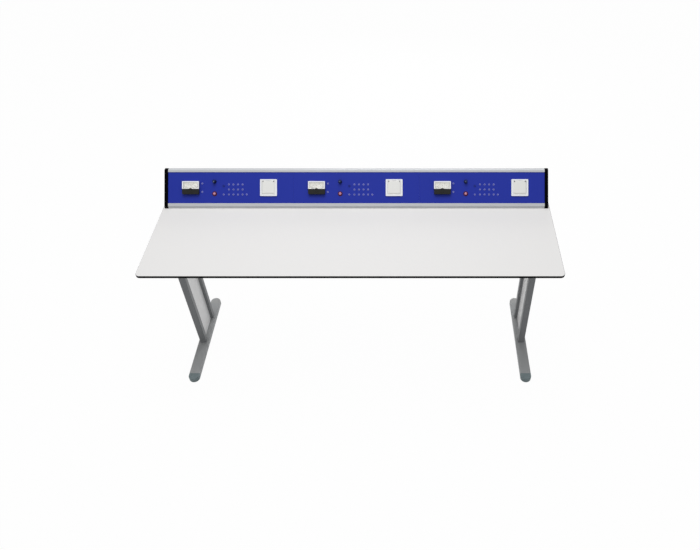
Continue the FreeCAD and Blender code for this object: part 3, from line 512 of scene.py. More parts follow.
def bare(holder):
    """Give a material or the world an empty tree of nodes."""
    holder.use_nodes = True
    holder.node_tree.nodes.clear()
    return holder


def textured(name, colour, grain, tone, gloss, relief, stretch=(1, 1, 1), edge=0.0, **shine):
    """Material whose fine grain varies its tone, its roughness and its surface.

    grain, relief and edge are millimetres: the grain's size and depth, and how far sharp edges
    are softened. gloss is the lowest and highest roughness."""
    material = bare(bpy.data.materials.new(name))
    point = add(material, "TexCoord").outputs["Object"]
    scale = [share / (grain * MM) for share in stretch]
    sized = add(material, "Mapping", {"Vector": point, "Scale": scale}).outputs["Vector"]
    noise = add(material, "TexNoise", {"Vector": sized, "Scale": 1.0, "Detail": 3.0}).outputs["Fac"]
    contrast = {"Value": noise, "From Min": 0.3, "From Max": 0.7}
    spread = add(material, "MapRange", contrast).outputs["Result"]
    tones = {0: spread, 6: opaque(colour, 1 - tone), 7: opaque(colour, 1 + tone)}
    shade = add(material, "Mix", tones, data_type="RGBA").outputs[2]
    spans = {**contrast, "To Min": gloss[0], "To Max": gloss[1]}
    rough = add(material, "MapRange", spans).outputs["Result"]
    bump = {"Height": spread, "Distance": relief * MM, "Strength": 1.0}
    if edge:
        bump["Normal"] = add(material, "Bevel", {"Radius": edge * MM}, samples=4).outputs["Normal"]
    surface = add(material, "Bump", bump).outputs["Normal"]
    skin = {"Base Color": shade, "Roughness": rough, "Normal": surface, **shine}
    shader = add(material, "BsdfPrincipled", skin)
    add(material, "OutputMaterial", {"Surface": shader.outputs["BSDF"]})
    return material


def node_of(material, kind):
    return next(node for node in material.node_tree.nodes if node.type == kind)


def black_core(material):
    """Show the board's black core at its edges, between the white faces."""
    scene = bpy.context.scene
    low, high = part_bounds("worktop")
    middle = (low.z + high.z) / 2
    core_reach = (high.z - low.z) / 2 - scene.lab_table_sizes.laminate_face
    shader = node_of(material, "BSDF_PRINCIPLED")
    shade = shader.inputs["Base Color"].links[0].from_socket
    point = add(material, "TexCoord").outputs["Object"]
    height = add(material, "SeparateXYZ", {"Vector": point}).outputs["Z"]
    from_middle = add(material, "Math", {0: height, 1: middle}, operation="SUBTRACT").outputs[0]
    reach = add(material, "Math", {0: from_middle}, operation="ABSOLUTE").outputs[0]
    in_core = add(material, "Math", {0: reach, 1: core_reach}, operation="LESS_THAN").outputs[0]
    layers = {0: in_core, 6: shade, 7: opaque(scene.lab_table_finishes.core)}
    mixed = add(material, "Mix", layers, data_type="RGBA").outputs[2]
    material.node_tree.links.new(mixed, shader.inputs["Base Color"])


def lets_lamps_through(material):
    """Let a clear or milky moulding pass the lamps' light to what lies under it."""
    passing = add(material, "BsdfTransparent").outputs["BSDF"]
    shadow = add(material, "LightPath").outputs["Is Shadow Ray"]
    solid = node_of(material, "BSDF_PRINCIPLED").outputs["BSDF"]
    blend = add(material, "MixShader", {0: shadow, 1: solid, 2: passing}).outputs["Shader"]
    material.node_tree.links.new(blend, node_of(material, "OUTPUT_MATERIAL").inputs["Surface"])


METAL = {"Metallic": 1.0}

# Each finish has its common name, its colour (one of the user's, or an sRGB hex value), its grain in
# millimetres, how far its tone varies, its lowest and highest roughness, the grain's depth in
# millimetres, and what else sets it apart
FINISHES = {
    # Paper sheets pressed in resin: white silky faces over a black core
    "laminate_top": ("compact laminate", "laminate", 1.6, 0.012, (0.38, 0.5), 0.004, {SPECULAR: 0.03}),
    # Powder coated steel tube: even grey with the faint orange peel of melted powder
    "steel_frame": (
        "powder coated steel", "steel", 1.4, 0.03, (0.36, 0.5), 0.02, {"edge": 0.5, SPECULAR: 0.15},
    ),
    # The foot bars' tube: the frame's coat painted in a lighter grey, which stands in for more light on the foot
    # bars
    "foot_steel": (
        "powder coated foot bar", "foot", 1.4, 0.03, (0.36, 0.5), 0.02, {"edge": 0.5, SPECULAR: 0.15},
    ),
    # Powder coated sheet: pale and silky, with the same orange peel
    "infill": ("powder coated sheet", "infill", 1.4, 0.02, (0.4, 0.52), 0.015, {"edge": 0.3, SPECULAR: 0.2}),
    # Injection moulded polyamide: a fine spark-eroded grain, a little glossy
    "foot_cap": ("moulded polyamide", "foot_cap", 0.7, 0.04, (0.42, 0.56), 0.02, {SPECULAR: 0.2}),
    # The rear caps' polyamide: grey, painted lighter than the front caps for the stronger light on the rear ends,
    # with the same grain
    "rear_foot_cap": ("light moulded polyamide", "rear_cap", 0.7, 0.03, (0.42, 0.56), 0.02, {SPECULAR: 0.2}),
    # Anodised extrusion: satin metal with fine die lines along the profile
    "anodised_profile": (
        "anodised aluminium", "aluminium", 0.8, 0.05, (0.3, 0.42), 0.004,
        {"stretch": (0.01, 1, 1), "edge": 0.4, "Metallic": 0.1, SPECULAR: 0.2},
    ),
    # Powder coated aluminium sheet: saturated blue with a soft sheen and fine orange peel
    "blue_panel": ("blue powder coat", "panel", 1.2, 0.05, (0.34, 0.46), 0.012, {SPECULAR: 0.15}),
    # Moulded ABS: black with a fine matt grain
    "black_plastic": (
        "moulded black ABS", "black", 0.6, 0.08, (0.4, 0.55), 0.015, {"edge": 0.5, SPECULAR: 0.02},
    ),
    # Black oxide on steel: dark metal with an oily sheen
    "black_screw": ("black oxide steel", "3a3b3e", 0.8, 0.12, (0.32, 0.46), 0.01, METAL),
    # Zinc plate: bright, faintly cloudy metal
    "zinc_screw": ("zinc plated steel", "b9bcc0", 2.0, 0.09, (0.24, 0.4), 0.01, METAL),
    # Moulded polyamide: dark grey, finely grained
    "gland_plastic": ("gland polyamide", "34373a", 0.6, 0.06, (0.42, 0.58), 0.015, {}),
    # Moulded nitrile rubber: black and matt
    "gland_seal": ("nitrile rubber", "151515", 0.5, 0.1, (0.65, 0.8), 0.01, {}),
    # Cast resin in a moulded shell: dark, with a sandy grain
    "supply_case": ("supply housing", "2b2d31", 0.9, 0.1, (0.5, 0.65), 0.03, {}),
    # Moulded acrylic: clear and glossy; the lamps reach the dial through it
    "clear_window": (
        "clear acrylic", "ffffff", 20.0, 0.0, (0.02, 0.05), 0.002, {"IOR": 1.49, "Transmission Weight": 1.0},
    ),
    # Moulded opal acrylic: milky white and glossy, bright at the dial's edge
    "meter_rim": ("opal acrylic", "white", 6.0, 0.01, (0.14, 0.24), 0.004, {"edge": 0.4, SPECULAR: 0.8}),
    # Printed card on an aluminium plate: warm off-white and matt
    "dial_card": ("dial card", "dial", 0.5, 0.02, (0.5, 0.6), 0.002, {}),
    # Screen printing ink: dark, a little glossier than the card
    "dial_ink": ("dial ink", "ink", 0.3, 0.05, (0.4, 0.5), 0.001, {}),
    # Moulded polyamide collar: pale violet blue and smooth
    "socket_collar": ("socket collar polyamide", "socket", 0.5, 0.03, (0.3, 0.42), 0.005, {SPECULAR: 0.2}),
    # Nickel plate on brass: bright metal, a little warm
    "nickel_nut": ("nickel plated brass", "c3c3c6", 0.8, 0.06, (0.16, 0.28), 0.01, METAL),
    # Nickel plated sleeve, dulled by the plugs that go in and out; its blue tint is a painted reflection of the
    # collar round it
    "socket_contact": ("worn nickel", "8c94dc", 0.5, 0.1, (0.3, 0.45), 0.01, {"Metallic": 0.6}),
    # Dark grey skin over the hinge lugs, finely grained: painted shade for the dark slots round them
    "hinge_lug": ("hinge polyamide", "3c3a42", 0.5, 0.06, (0.4, 0.55), 0.01, {SPECULAR: 0.15}),
    # Drawn steel can: satin metal
    "control_metal": ("drawn steel", "a9acb0", 1.0, 0.06, (0.28, 0.4), 0.01, METAL),
    # Moulded polycarbonate ring: smooth, in a dark red near that of the lens
    "bezel_plastic": ("bezel polycarbonate", "bezel", 0.6, 0.06, (0.22, 0.34), 0.004, {SPECULAR: 0.2}),
    # Moulded thermoset: dark blue and slightly glossy
    "fuse_cap": ("fuse holder thermoset", "fuse", 0.6, 0.06, (0.28, 0.4), 0.006, {SPECULAR: 0.15}),
    # Moulded urea: cool white and glossy, with the faintest waviness
    "white_plastic": (
        "white urea moulding", "white", 6.0, 0.01, (0.14, 0.24), 0.004, {"edge": 0.4, SPECULAR: 0.8},
    ),
    # Moulded thermoplastic: creamy white, silkier than the outlet's frame
    "white_lid": ("cream lid moulding", "lid", 4.0, 0.01, (0.32, 0.35), 0.003, {"edge": 0.35, SPECULAR: 0.2}),
    # Moulded ABS: blue black, a satin grip
    "knob_plastic": ("knob ABS", "0a0e22", 0.5, 0.08, (0.32, 0.44), 0.008, {SPECULAR: 0.1}),
    # Cap of moulded ABS, a little smoother than the grip; its lighter slate blue is painted light on the knob's
    # top
    "knob_cap": ("knob cap ABS", "2b3760", 0.5, 0.05, (0.26, 0.36), 0.004, {SPECULAR: 0.15}),
    # Paint in a moulded groove: pale grey and matt
    "index_line": ("index paint", "a4a8b8", 0.3, 0.02, (0.5, 0.6), 0.002, {}),
    # Translucent polycarbonate: deep red that glows a little, under a glossy skin
    "red_lens": ("red polycarbonate", "lens", 1.5, 0.05, (0.12, 0.2), 0.002, {
        "Subsurface Weight": 0.35, "Subsurface Radius": (0.006, 0.0012, 0.0010), "Subsurface Scale": 1.0,
        "Coat Weight": 0.6, "Coat Roughness": 0.06,
    }),
    # Pale red disc over the lens's middle: a painted highlight, softly glossy
    "lens_diffuser": ("opal polycarbonate", "diffuser", 1.5, 0.03, (0.2, 0.3), 0.002, {
        "Subsurface Weight": 0.3, "Subsurface Radius": (0.004, 0.0015, 0.0012), "Subsurface Scale": 1.0,
    }),
    # Moulded phenolic: deep black with a satin grain
    "meter_black": (
        "meter case moulding", "meter", 0.6, 0.08, (0.3, 0.42), 0.01, {"edge": 0.4, SPECULAR: 0.15},
    ),
    # Painted aluminium needle: matt black
    "pointer_black": ("pointer paint", "121212", 0.4, 0.05, (0.5, 0.6), 0.002, {}),
    # Drawn stainless steel: bright metal
    "steel_pin": ("bright steel", "c4c6c8", 0.6, 0.05, (0.18, 0.3), 0.01, METAL),
    # Turned and zinc plated steel: bright, a little worn
    "glide_steel": ("zinc plated glide", "b4b7ba", 1.2, 0.1, (0.28, 0.44), 0.01, METAL),
}
FINISHING = {
    "laminate_top": black_core,
    "clear_window": lets_lamps_through,
    "meter_rim": lets_lamps_through,
}
finished = {}


def finish(name):
    """A finish of the list, made once."""
    if name not in finished:
        colours = bpy.context.scene.lab_table_finishes
        common_name, tint, grain, tone, gloss, relief, extras = FINISHES[name]
        colour = getattr(colours, tint) if hasattr(colours, tint) else linear(tint)
        material = textured(common_name, colour, grain, tone, gloss, relief, **extras)
        if name in FINISHING:
            FINISHING[name](material)
        finished[name] = material
    return finished[name]


def dress(*names, special=None):
    """Give CAD nodes the finishes that their own slots name, or one special finish."""
    for name in names:
        for slot in nodes[name].material_slots:
            slot.material = finish(special or slot.material.name)


# Worktop, console shell and legs keep their CAD shapes

class LABTABLE_OT_worktop(bpy.types.Operator):
    """Finish the compact laminate worktop"""

    bl_idname = "labtable.worktop"
    bl_label = "Worktop"

    def execute(self, context):
        dress("worktop")
        return {"FINISHED"}


class LABTABLE_OT_console_shell(bpy.types.Operator):
    """Finish the console's extrusion, its end caps and the blue module panels"""

    bl_idname = "labtable.console_shell"
    bl_label = "Console shell"

    def execute(self, context):
        dress("console_housing", "end_cap_left", "end_cap_right")
        dress(*(f"module_panel_{station}" for station in STATIONS))
        return {"FINISHED"}


class LABTABLE_OT_legs(bpy.types.Operator):
    """Finish the legs, foot bars, foot caps, arms and beams"""

    bl_idname = "labtable.legs"
    bl_label = "Legs and beams"

    def execute(self, context):
        for part in ("front_post", "rear_post", "infill_panel", "top_arm"):
            dress(part + "_left", part + "_right")
        dress("beam_front", "beam_rear", "foot_caps_front")
        # The foot bars get the frame's coat painted lighter, as painted light
        dress("foot_bar_left", "foot_bar_right", special="foot_steel")
        # The rear caps get a grey painted lighter, as painted light on the rear ends
        dress("foot_caps_rear", special="rear_foot_cap")
        return {"FINISHED"}


class LABTABLE_OT_hidden_parts(bpy.types.Operator):
    """Finish the parts inside the console"""

    bl_idname = "labtable.hidden_parts"
    bl_label = "Parts inside the console"

    def execute(self, context):
        dress("supply_units", "control_bodies", "socket_nuts")
        return {"FINISHED"}


# Panel meters

class LABTABLE_OT_meters(bpy.types.Operator):
    """Build the panel meters: case, rim, pane, dial with its printing, pointer and zero screw"""

    bl_idname = "labtable.meters"
    bl_label = "Panel meters"

    def execute(self, context):
        sizes = context.scene.lab_table_sizes
        for station in STATIONS:
            low, high = part_box(f"meter_case_{station}", station)
            window_low, window_high = part_box("meter_windows", station)
            centre = (low + high) / 2
            place = station_place(station) @ at(centre.x, centre.y)
            shift = Vector((centre.x, centre.y, 0))
            low, high = low - shift, high - shift
            window_low, window_high = window_low - shift, window_high - shift
            pivot = on_station(station, joints[f"pointer_{station}_swing"]["pos_m"]).y - centre.y
            self.build_case(station, place, low, high, window_low, window_high, pivot, sizes)
            self.build_window(station, place, window_low, window_high, pivot, sizes)
            self.build_dial(station, place, pivot, sizes)
        dress("meter_dials", *(f"meter_pointer_{station}" for station in STATIONS))
        return {"FINISHED"}

    def case_block(self, low, high, sizes):
        """Box with the corners of the meter's case."""
        bm = block(low, high)
        for lower in (True, False):
            corner = [edge for edge in standing(bm) if (edge.verts[0].co.y < 0) == lower]
            soften(bm, corner, sizes.case_corner if lower else sizes.meter_corner, 6)
        return bm

    def build_case(self, station, place, low, high, window_low, window_high, pivot, sizes):
        """Base plate, walls open above the dial, hood with its boss, and the barrel behind."""
        face = window_high.z
        split = window_low.y
        base = self.case_block((low.x, low.y, 0), (high.x, high.y, sizes.meter_base), sizes)
        soften(base, edges_at(base, sizes.meter_base), 0.5 * MM, 3)
        seam = face - sizes.meter_rim_depth
        walls = self.case_block((low.x, low.y, sizes.meter_base), (high.x, high.y, seam), sizes)
        ends = [side for side in walls.faces if abs(side.normal.z) > 0.5 or side.normal.y > 0.3]
        walls = shelled(walls, ends, sizes.meter_wall)
        hood = block((low.x, low.y, seam), (high.x, split, face))
        lower = [edge for edge in standing(hood) if edge.verts[0].co.y < split - WELD]
        soften(hood, lower, sizes.case_corner, 6)
        rim = [edge for edge in edges_at(hood, face) if min(v.co.y for v in edge.verts) < split - WELD]
        soften(hood, rim, 1.2 * MM, 4)
        open_faces = [
            side for side in hood.faces
            if all(abs(vertex.co.y - split) < WELD for vertex in side.verts)
            or all(abs(vertex.co.z - seam) < WELD for vertex in side.verts)
        ]
        hood = shelled(hood, open_faces, sizes.meter_wall)
        boss = prism(64, sizes.meter_boss, face - 2 * MM, face + MM, rim=0.5 * MM, steps=3)
        barrel = prism(64, sizes.meter_barrel, low.z, 0.0)
        case = joined(base, walls, hood, placed(boss, at(0, pivot)), barrel)
        piece(
            f"meter_case_body_{station}", case, "table", "meter_black", place,
            replaces=[f"meter_case_{station}"],
        )
        reach = sizes.zero_screw
        screw = prism(32, reach, face + 0.5 * MM, high.z, rim=0.15 * MM)
        slot = block((-reach, -0.4 * MM, high.z - 0.5 * MM), (reach, 0.4 * MM, high.z + MM))
        slant = Matrix.Rotation(math.radians(20), 4, "Z")
        piece(
            f"meter_zero_screw_{station}", carved(screw, slot), "table", "meter_black",
            place @ at(0, pivot) @ slant,
        )

    def build_window(self, station, place, low, high, pivot, sizes):
        """Opal rim with its top wall, and the clear pane in it."""
        rim_foot = high.z - sizes.meter_rim_depth
        rim = block((low.x, low.y, rim_foot), high)
        upper = [edge for edge in standing(rim) if edge.verts[0].co.y > low.y + WELD]
        soften(rim, upper, sizes.meter_corner, 4)
        outer = [edge for edge in edges_at(rim, high.z) if max(v.co.y for v in edge.verts) > low.y + WELD]
        soften(rim, outer, 0.9 * MM, 4)
        opening_low = (low.x + sizes.meter_rim_side, low.y + sizes.meter_rim_low, low.z - MM)
        opening_high = (high.x - sizes.meter_rim_side, high.y - sizes.meter_rim_top, high.z + MM)
        opening = block(opening_low, opening_high, upright=0.8 * MM)
        overlap = 0.2 * MM
        back_low = (low.x, high.y - sizes.meter_wall, sizes.meter_base - overlap)
        back = block(back_low, (high.x, high.y, rim_foot + overlap))
        upper = [edge for edge in standing(back) if edge.verts[0].co.y > high.y - WELD]
        soften(back, upper, sizes.meter_corner, 4)
        cover = joined(carved(rim, opening, self.boss_gap(low, high, pivot, sizes)), back)
        piece(
            f"meter_rim_{station}", cover, "table", "white_plastic", place,
            material="meter_rim", replaces=["meter_windows"],
        )
        rebate = 0.3 * MM
        pane_low = (opening_low[0] - rebate, opening_low[1] - rebate, high.z - 2.2 * MM)
        pane_high = (opening_high[0] + rebate, opening_high[1] + rebate, high.z - 0.5 * MM)
        pane = carved(block(pane_low, pane_high), self.boss_gap(low, high, pivot, sizes))
        piece(f"meter_pane_{station}", pane, "table", "clear_window", place)

    def boss_gap(self, low, high, pivot, sizes):
        """Cutter that leaves room for the boss."""
        clear = 0.25 * MM
        return placed(prism(64, sizes.meter_boss + clear, low.z - MM, high.z + MM), at(0, pivot))

    def build_dial(self, station, place, pivot, sizes):
        """Printing on the card: arc, divisions, figures, unit and the line under them."""
        card = part_box("meter_dials", station)[1].z
        swing = math.radians(joints[f"pointer_{station}_swing"]["range_deg"][1]) / 2
        line = sizes.scale_line
        scale = bmesh.new()
        inner = scale.verts.new((0, sizes.scale_radius - line / 2, 0))
        outer = scale.verts.new((0, sizes.scale_radius + line / 2, 0))
        scale.edges.new((inner, outer))
        bmesh.ops.rotate(scale, verts=scale.verts, matrix=Matrix.Rotation(swing, 3, "Z"))
        bmesh.ops.spin(
            scale, geom=scale.verts[:] + scale.edges[:], cent=(0, 0, 0), axis=(0, 0, 1), angle=-2 * swing,
            steps=48,
        )
        marks = [scale]
        divisions, figured, halved = 30, 10, 5
        for mark in range(divisions + 1):
            turn = swing - 2 * swing * mark / divisions
            reach = (3.6 if mark % figured == 0 else 2.6 if mark % halved == 0 else 1.6) * MM
            width = line if mark % halved == 0 else line / 2
            middle = sizes.scale_radius + reach / 2
            marks.append(placed(sheet(width, reach), Matrix.Rotation(turn, 4, "Z"), at(0, middle)))
            if mark % figured == 0:
                radius = sizes.scale_radius + 6.0 * MM
                point = (-radius * math.sin(turn), radius * math.cos(turn), 0)
                marks.append(printed_text(str(mark), sizes.figure_height, point, turn))
        unit_height, unit_place = 4.2 * MM, 23.5 * MM
        marks.append(printed_text("V", unit_height, (0, unit_place, 0)))
        rule_length, rule_place = 66 * MM, 15.5 * MM
        marks.append(placed(sheet(rule_length, line), at(0, rule_place)))
        ink_depth = 0.04 * MM
        printing = placed(joined(*marks), at(0, pivot, card + ink_depth))
        piece(
            f"meter_printing_{station}", printing, "table", "dial_card", place, material="dial_ink",
        )


# Test sockets

class LABTABLE_OT_test_sockets(bpy.types.Operator):
    """Build the test sockets: a chamfered collar, its barrel and the metal contact in it"""

    bl_idname = "labtable.test_sockets"
    bl_label = "Test sockets"

    def execute(self, context):
        sizes = context.scene.lab_table_sizes
        for station in STATIONS:
            collars = []
            contacts = []
            for name, mount in mounts.items():
                if not name.startswith(f"test_socket_{station}_"):
                    continue
                mouth, bore, depth = mouth_of(mount)
                mouth = on_station(station, mouth)
                collars.append(placed(self.collar(bore, mouth.z, sizes), at(mouth.x, mouth.y)))
                contacts.append(placed(self.contact(bore, mouth.z, depth, sizes), at(mouth.x, mouth.y)))
            place = station_place(station)
            piece(
                f"socket_collars_{station}", joined(*collars), "table", "socket_collar", place,
                replaces=["test_sockets"],
            )
            # The contacts' blue tint is a painted reflection of the collars
            piece(
                f"socket_contacts_{station}", joined(*contacts), "table", "nickel_nut", place,
                material="socket_contact",
            )
        return {"FINISHED"}

    def collar(self, bore, height, sizes):
        """Ring in front of the panel, with the barrel that goes through it."""
        inner = bore + sizes.socket_contact
        outer = 4.3 * MM
        barrel = 3.2 * MM
        back = -17 * MM
        profile = [
            (inner, back), (barrel, back), (barrel, 0.0), (outer, 0.0),
            (outer, height - 0.5 * MM), (outer - 0.15 * MM, height - 0.15 * MM), (outer - 0.5 * MM, height),
            (inner + 0.35 * MM, height), (inner, height - 0.35 * MM),
        ]
        return turned(profile, 24, closed=True)

    def contact(self, bore, height, depth, sizes):
        """Sleeve that the plug goes into, closed at its end."""
        wall = bore + sizes.socket_contact
        end = height - depth
        top = height - 0.5 * MM
        profile = [
            (0.0, end - 0.5 * MM), (wall, end - 0.5 * MM), (wall, top), (bore + 0.1 * MM, top),
            (bore, top - 0.2 * MM), (bore, end), (0.0, end),
        ]
        return turned(profile, 16)


# Rotary controls, push buttons and fuse caps

class LABTABLE_OT_control_knobs(bpy.types.Operator):
    """Build the fluted knobs with their caps and index lines"""

    bl_idname = "labtable.control_knobs"
    bl_label = "Control knobs"

    def execute(self, context):
        sizes = context.scene.lab_table_sizes
        for station in STATIONS:
            low, high, radius, place = seat(f"control_knob_{station}", station)
            body = f"knob_{station}"
            foot = 0.5 * MM
            top = high.z
            waist = foot + sizes.knob_skirt
            grip = radius - 0.8 * MM
            crown = radius - 1.3 * MM
            hub = 3.0 * MM
            profile = [
                (0.0, low.z), (hub, low.z), (hub, foot), (radius - 0.3 * MM, foot),
                (radius, foot + 0.3 * MM),
                (radius, waist - 0.6 * MM), (radius - 0.2 * MM, waist - 0.2 * MM), (grip, waist),
                (grip - 0.05 * MM, waist + 0.8 * MM), (crown + 0.1 * MM, top - 1.6 * MM),
                (crown, top - 0.6 * MM), (crown - 0.25 * MM, top - 0.2 * MM), (crown - 0.7 * MM, top),
                (crown - 1.3 * MM, top), (crown - 1.4 * MM, top - 0.3 * MM), (0.0, top - 0.3 * MM),
            ]
            steps_in_flute = 6
            knob = turned(profile, sizes.knob_flutes * steps_in_flute)
            ends = (waist + 0.5 * MM, top - 0.5 * MM)
            flute(knob, sizes.knob_flutes, sizes.knob_flute, *ends, crown - 0.5 * MM)
            piece(
                f"knob_grip_{station}", knob, body, "knob_plastic", place,
                replaces=[f"control_knob_{station}"],
            )
            cap = crown - 1.5 * MM
            disc = [
                (0.0, top - 0.5 * MM), (cap, top - 0.5 * MM), (cap, top - 0.1 * MM), (cap - 0.2 * MM, top),
                (0.0, top),
            ]
            # The cap's slate blue is painted light on the knob's top
            piece(f"knob_cap_{station}", turned(disc, 48), body, "knob_plastic", place, material="knob_cap")
            half = 0.5 * MM
            crown_line = block((-half, cap * 0.25, top - 0.28 * MM), (half, cap * 0.96, top + 0.019 * MM))
            skirt_line = block(
                (-half, radius - half, foot + 0.35 * MM), (half, radius, waist - 0.7 * MM),
            )
            start = Matrix.Rotation(math.radians(135), 4, "Z")
            piece(
                f"knob_line_{station}", joined(crown_line, skirt_line), body, "knob_plastic",
                place @ start, material="index_line",
            )
        return {"FINISHED"}


class LABTABLE_OT_push_buttons(bpy.types.Operator):
    """Build the red domed lenses, with a painted highlight as a paler disc in their middle, and their bezels"""

    bl_idname = "labtable.push_buttons"
    bl_label = "Push buttons"

    def execute(self, context):
        sizes = context.scene.lab_table_sizes
        for station in STATIONS:
            low, high, radius, place = seat(f"push_button_{station}", station)
            skirt = 2.6 * MM
            stem = 4.0 * MM
            top = high.z - sizes.diffuser_step
            rise = top - skirt
            ball = (radius ** 2 + rise ** 2) / (2 * rise)
            start = math.degrees(math.acos(radius / ball))
            dome = arc((0.0, top - ball), ball, start, 90, 12)
            profile = [(0.0, low.z), (stem, low.z), (stem, 0.0), (radius, 0.0)]
            profile += dome[:-1] + [(0.0, top)]
            piece(
                f"button_lens_{station}", turned(profile, 64), f"button_{station}", "red_lens", place,
                replaces=[f"push_button_{station}"],
            )
            # Paler disc over the lens's middle: a painted highlight
            reach = radius * sizes.diffuser_share
            inner = ball + sizes.diffuser_step
            edge = math.degrees(math.acos(reach / inner))
            cap = arc((0.0, top - ball), inner, edge, 90, 10)
            sunk = cap[0][1] - 0.3 * MM
            disc = [(0.0, sunk), (reach, sunk)] + cap[:-1] + [(0.0, high.z)]
            piece(
                f"button_diffuser_{station}", turned(disc, 48), f"button_{station}", "red_lens", place,
                material="lens_diffuser",
            )
            self.build_bezel(station, place, radius)
        return {"FINISHED"}

    def build_bezel(self, station, place, lens_radius):
        """Ring round the lens with the switch body behind the panel."""
        low, high = part_box("button_bezels", station)
        radius = (high.x - low.x) / 2
        well = lens_radius + 0.3 * MM
        well_floor = -2.3 * MM
        body = 8.6 * MM
        stem_hole = 4.3 * MM
        hole_floor = -11.3 * MM
        profile = [
            (0.0, low.z), (body, low.z), (body, 0.0), (radius, 0.0),
            (radius, high.z * 0.5), (radius - 0.25 * MM, high.z * 0.85), (radius - 0.6 * MM, high.z),
            (well + 0.3 * MM, high.z), (well, high.z - 0.3 * MM), (well, well_floor),
            (stem_hole, well_floor), (stem_hole, hole_floor), (0.0, hole_floor),
        ]
        piece(
            f"button_bezel_{station}", turned(profile, 64), "table", "bezel_plastic", place,
            replaces=["button_bezels"],
        )


class LABTABLE_OT_fuse_caps(bpy.types.Operator):
    """Build the slotted fuse holder caps"""

    bl_idname = "labtable.fuse_caps"
    bl_label = "Fuse caps"

    def execute(self, context):
        for station in STATIONS:
            low, high, radius, place = seat("fuse_caps", station)
            holder = 5.0 * MM
            profile = [
                (0.0, low.z), (holder, low.z), (holder, 0.0), (radius, 0.0), (radius, high.z * 0.6),
                (radius - 0.15 * MM, high.z * 0.88), (radius - 0.5 * MM, high.z), (0.0, high.z),
            ]
            slot = block((-radius, -0.7 * MM, high.z - 0.7 * MM), (radius, 0.7 * MM, high.z + MM))
            piece(
                f"fuse_cap_{station}", carved(turned(profile, 48), slot), "table", "fuse_cap", place,
                replaces=["fuse_caps"],
            )
        return {"FINISHED"}


# Mains outlets

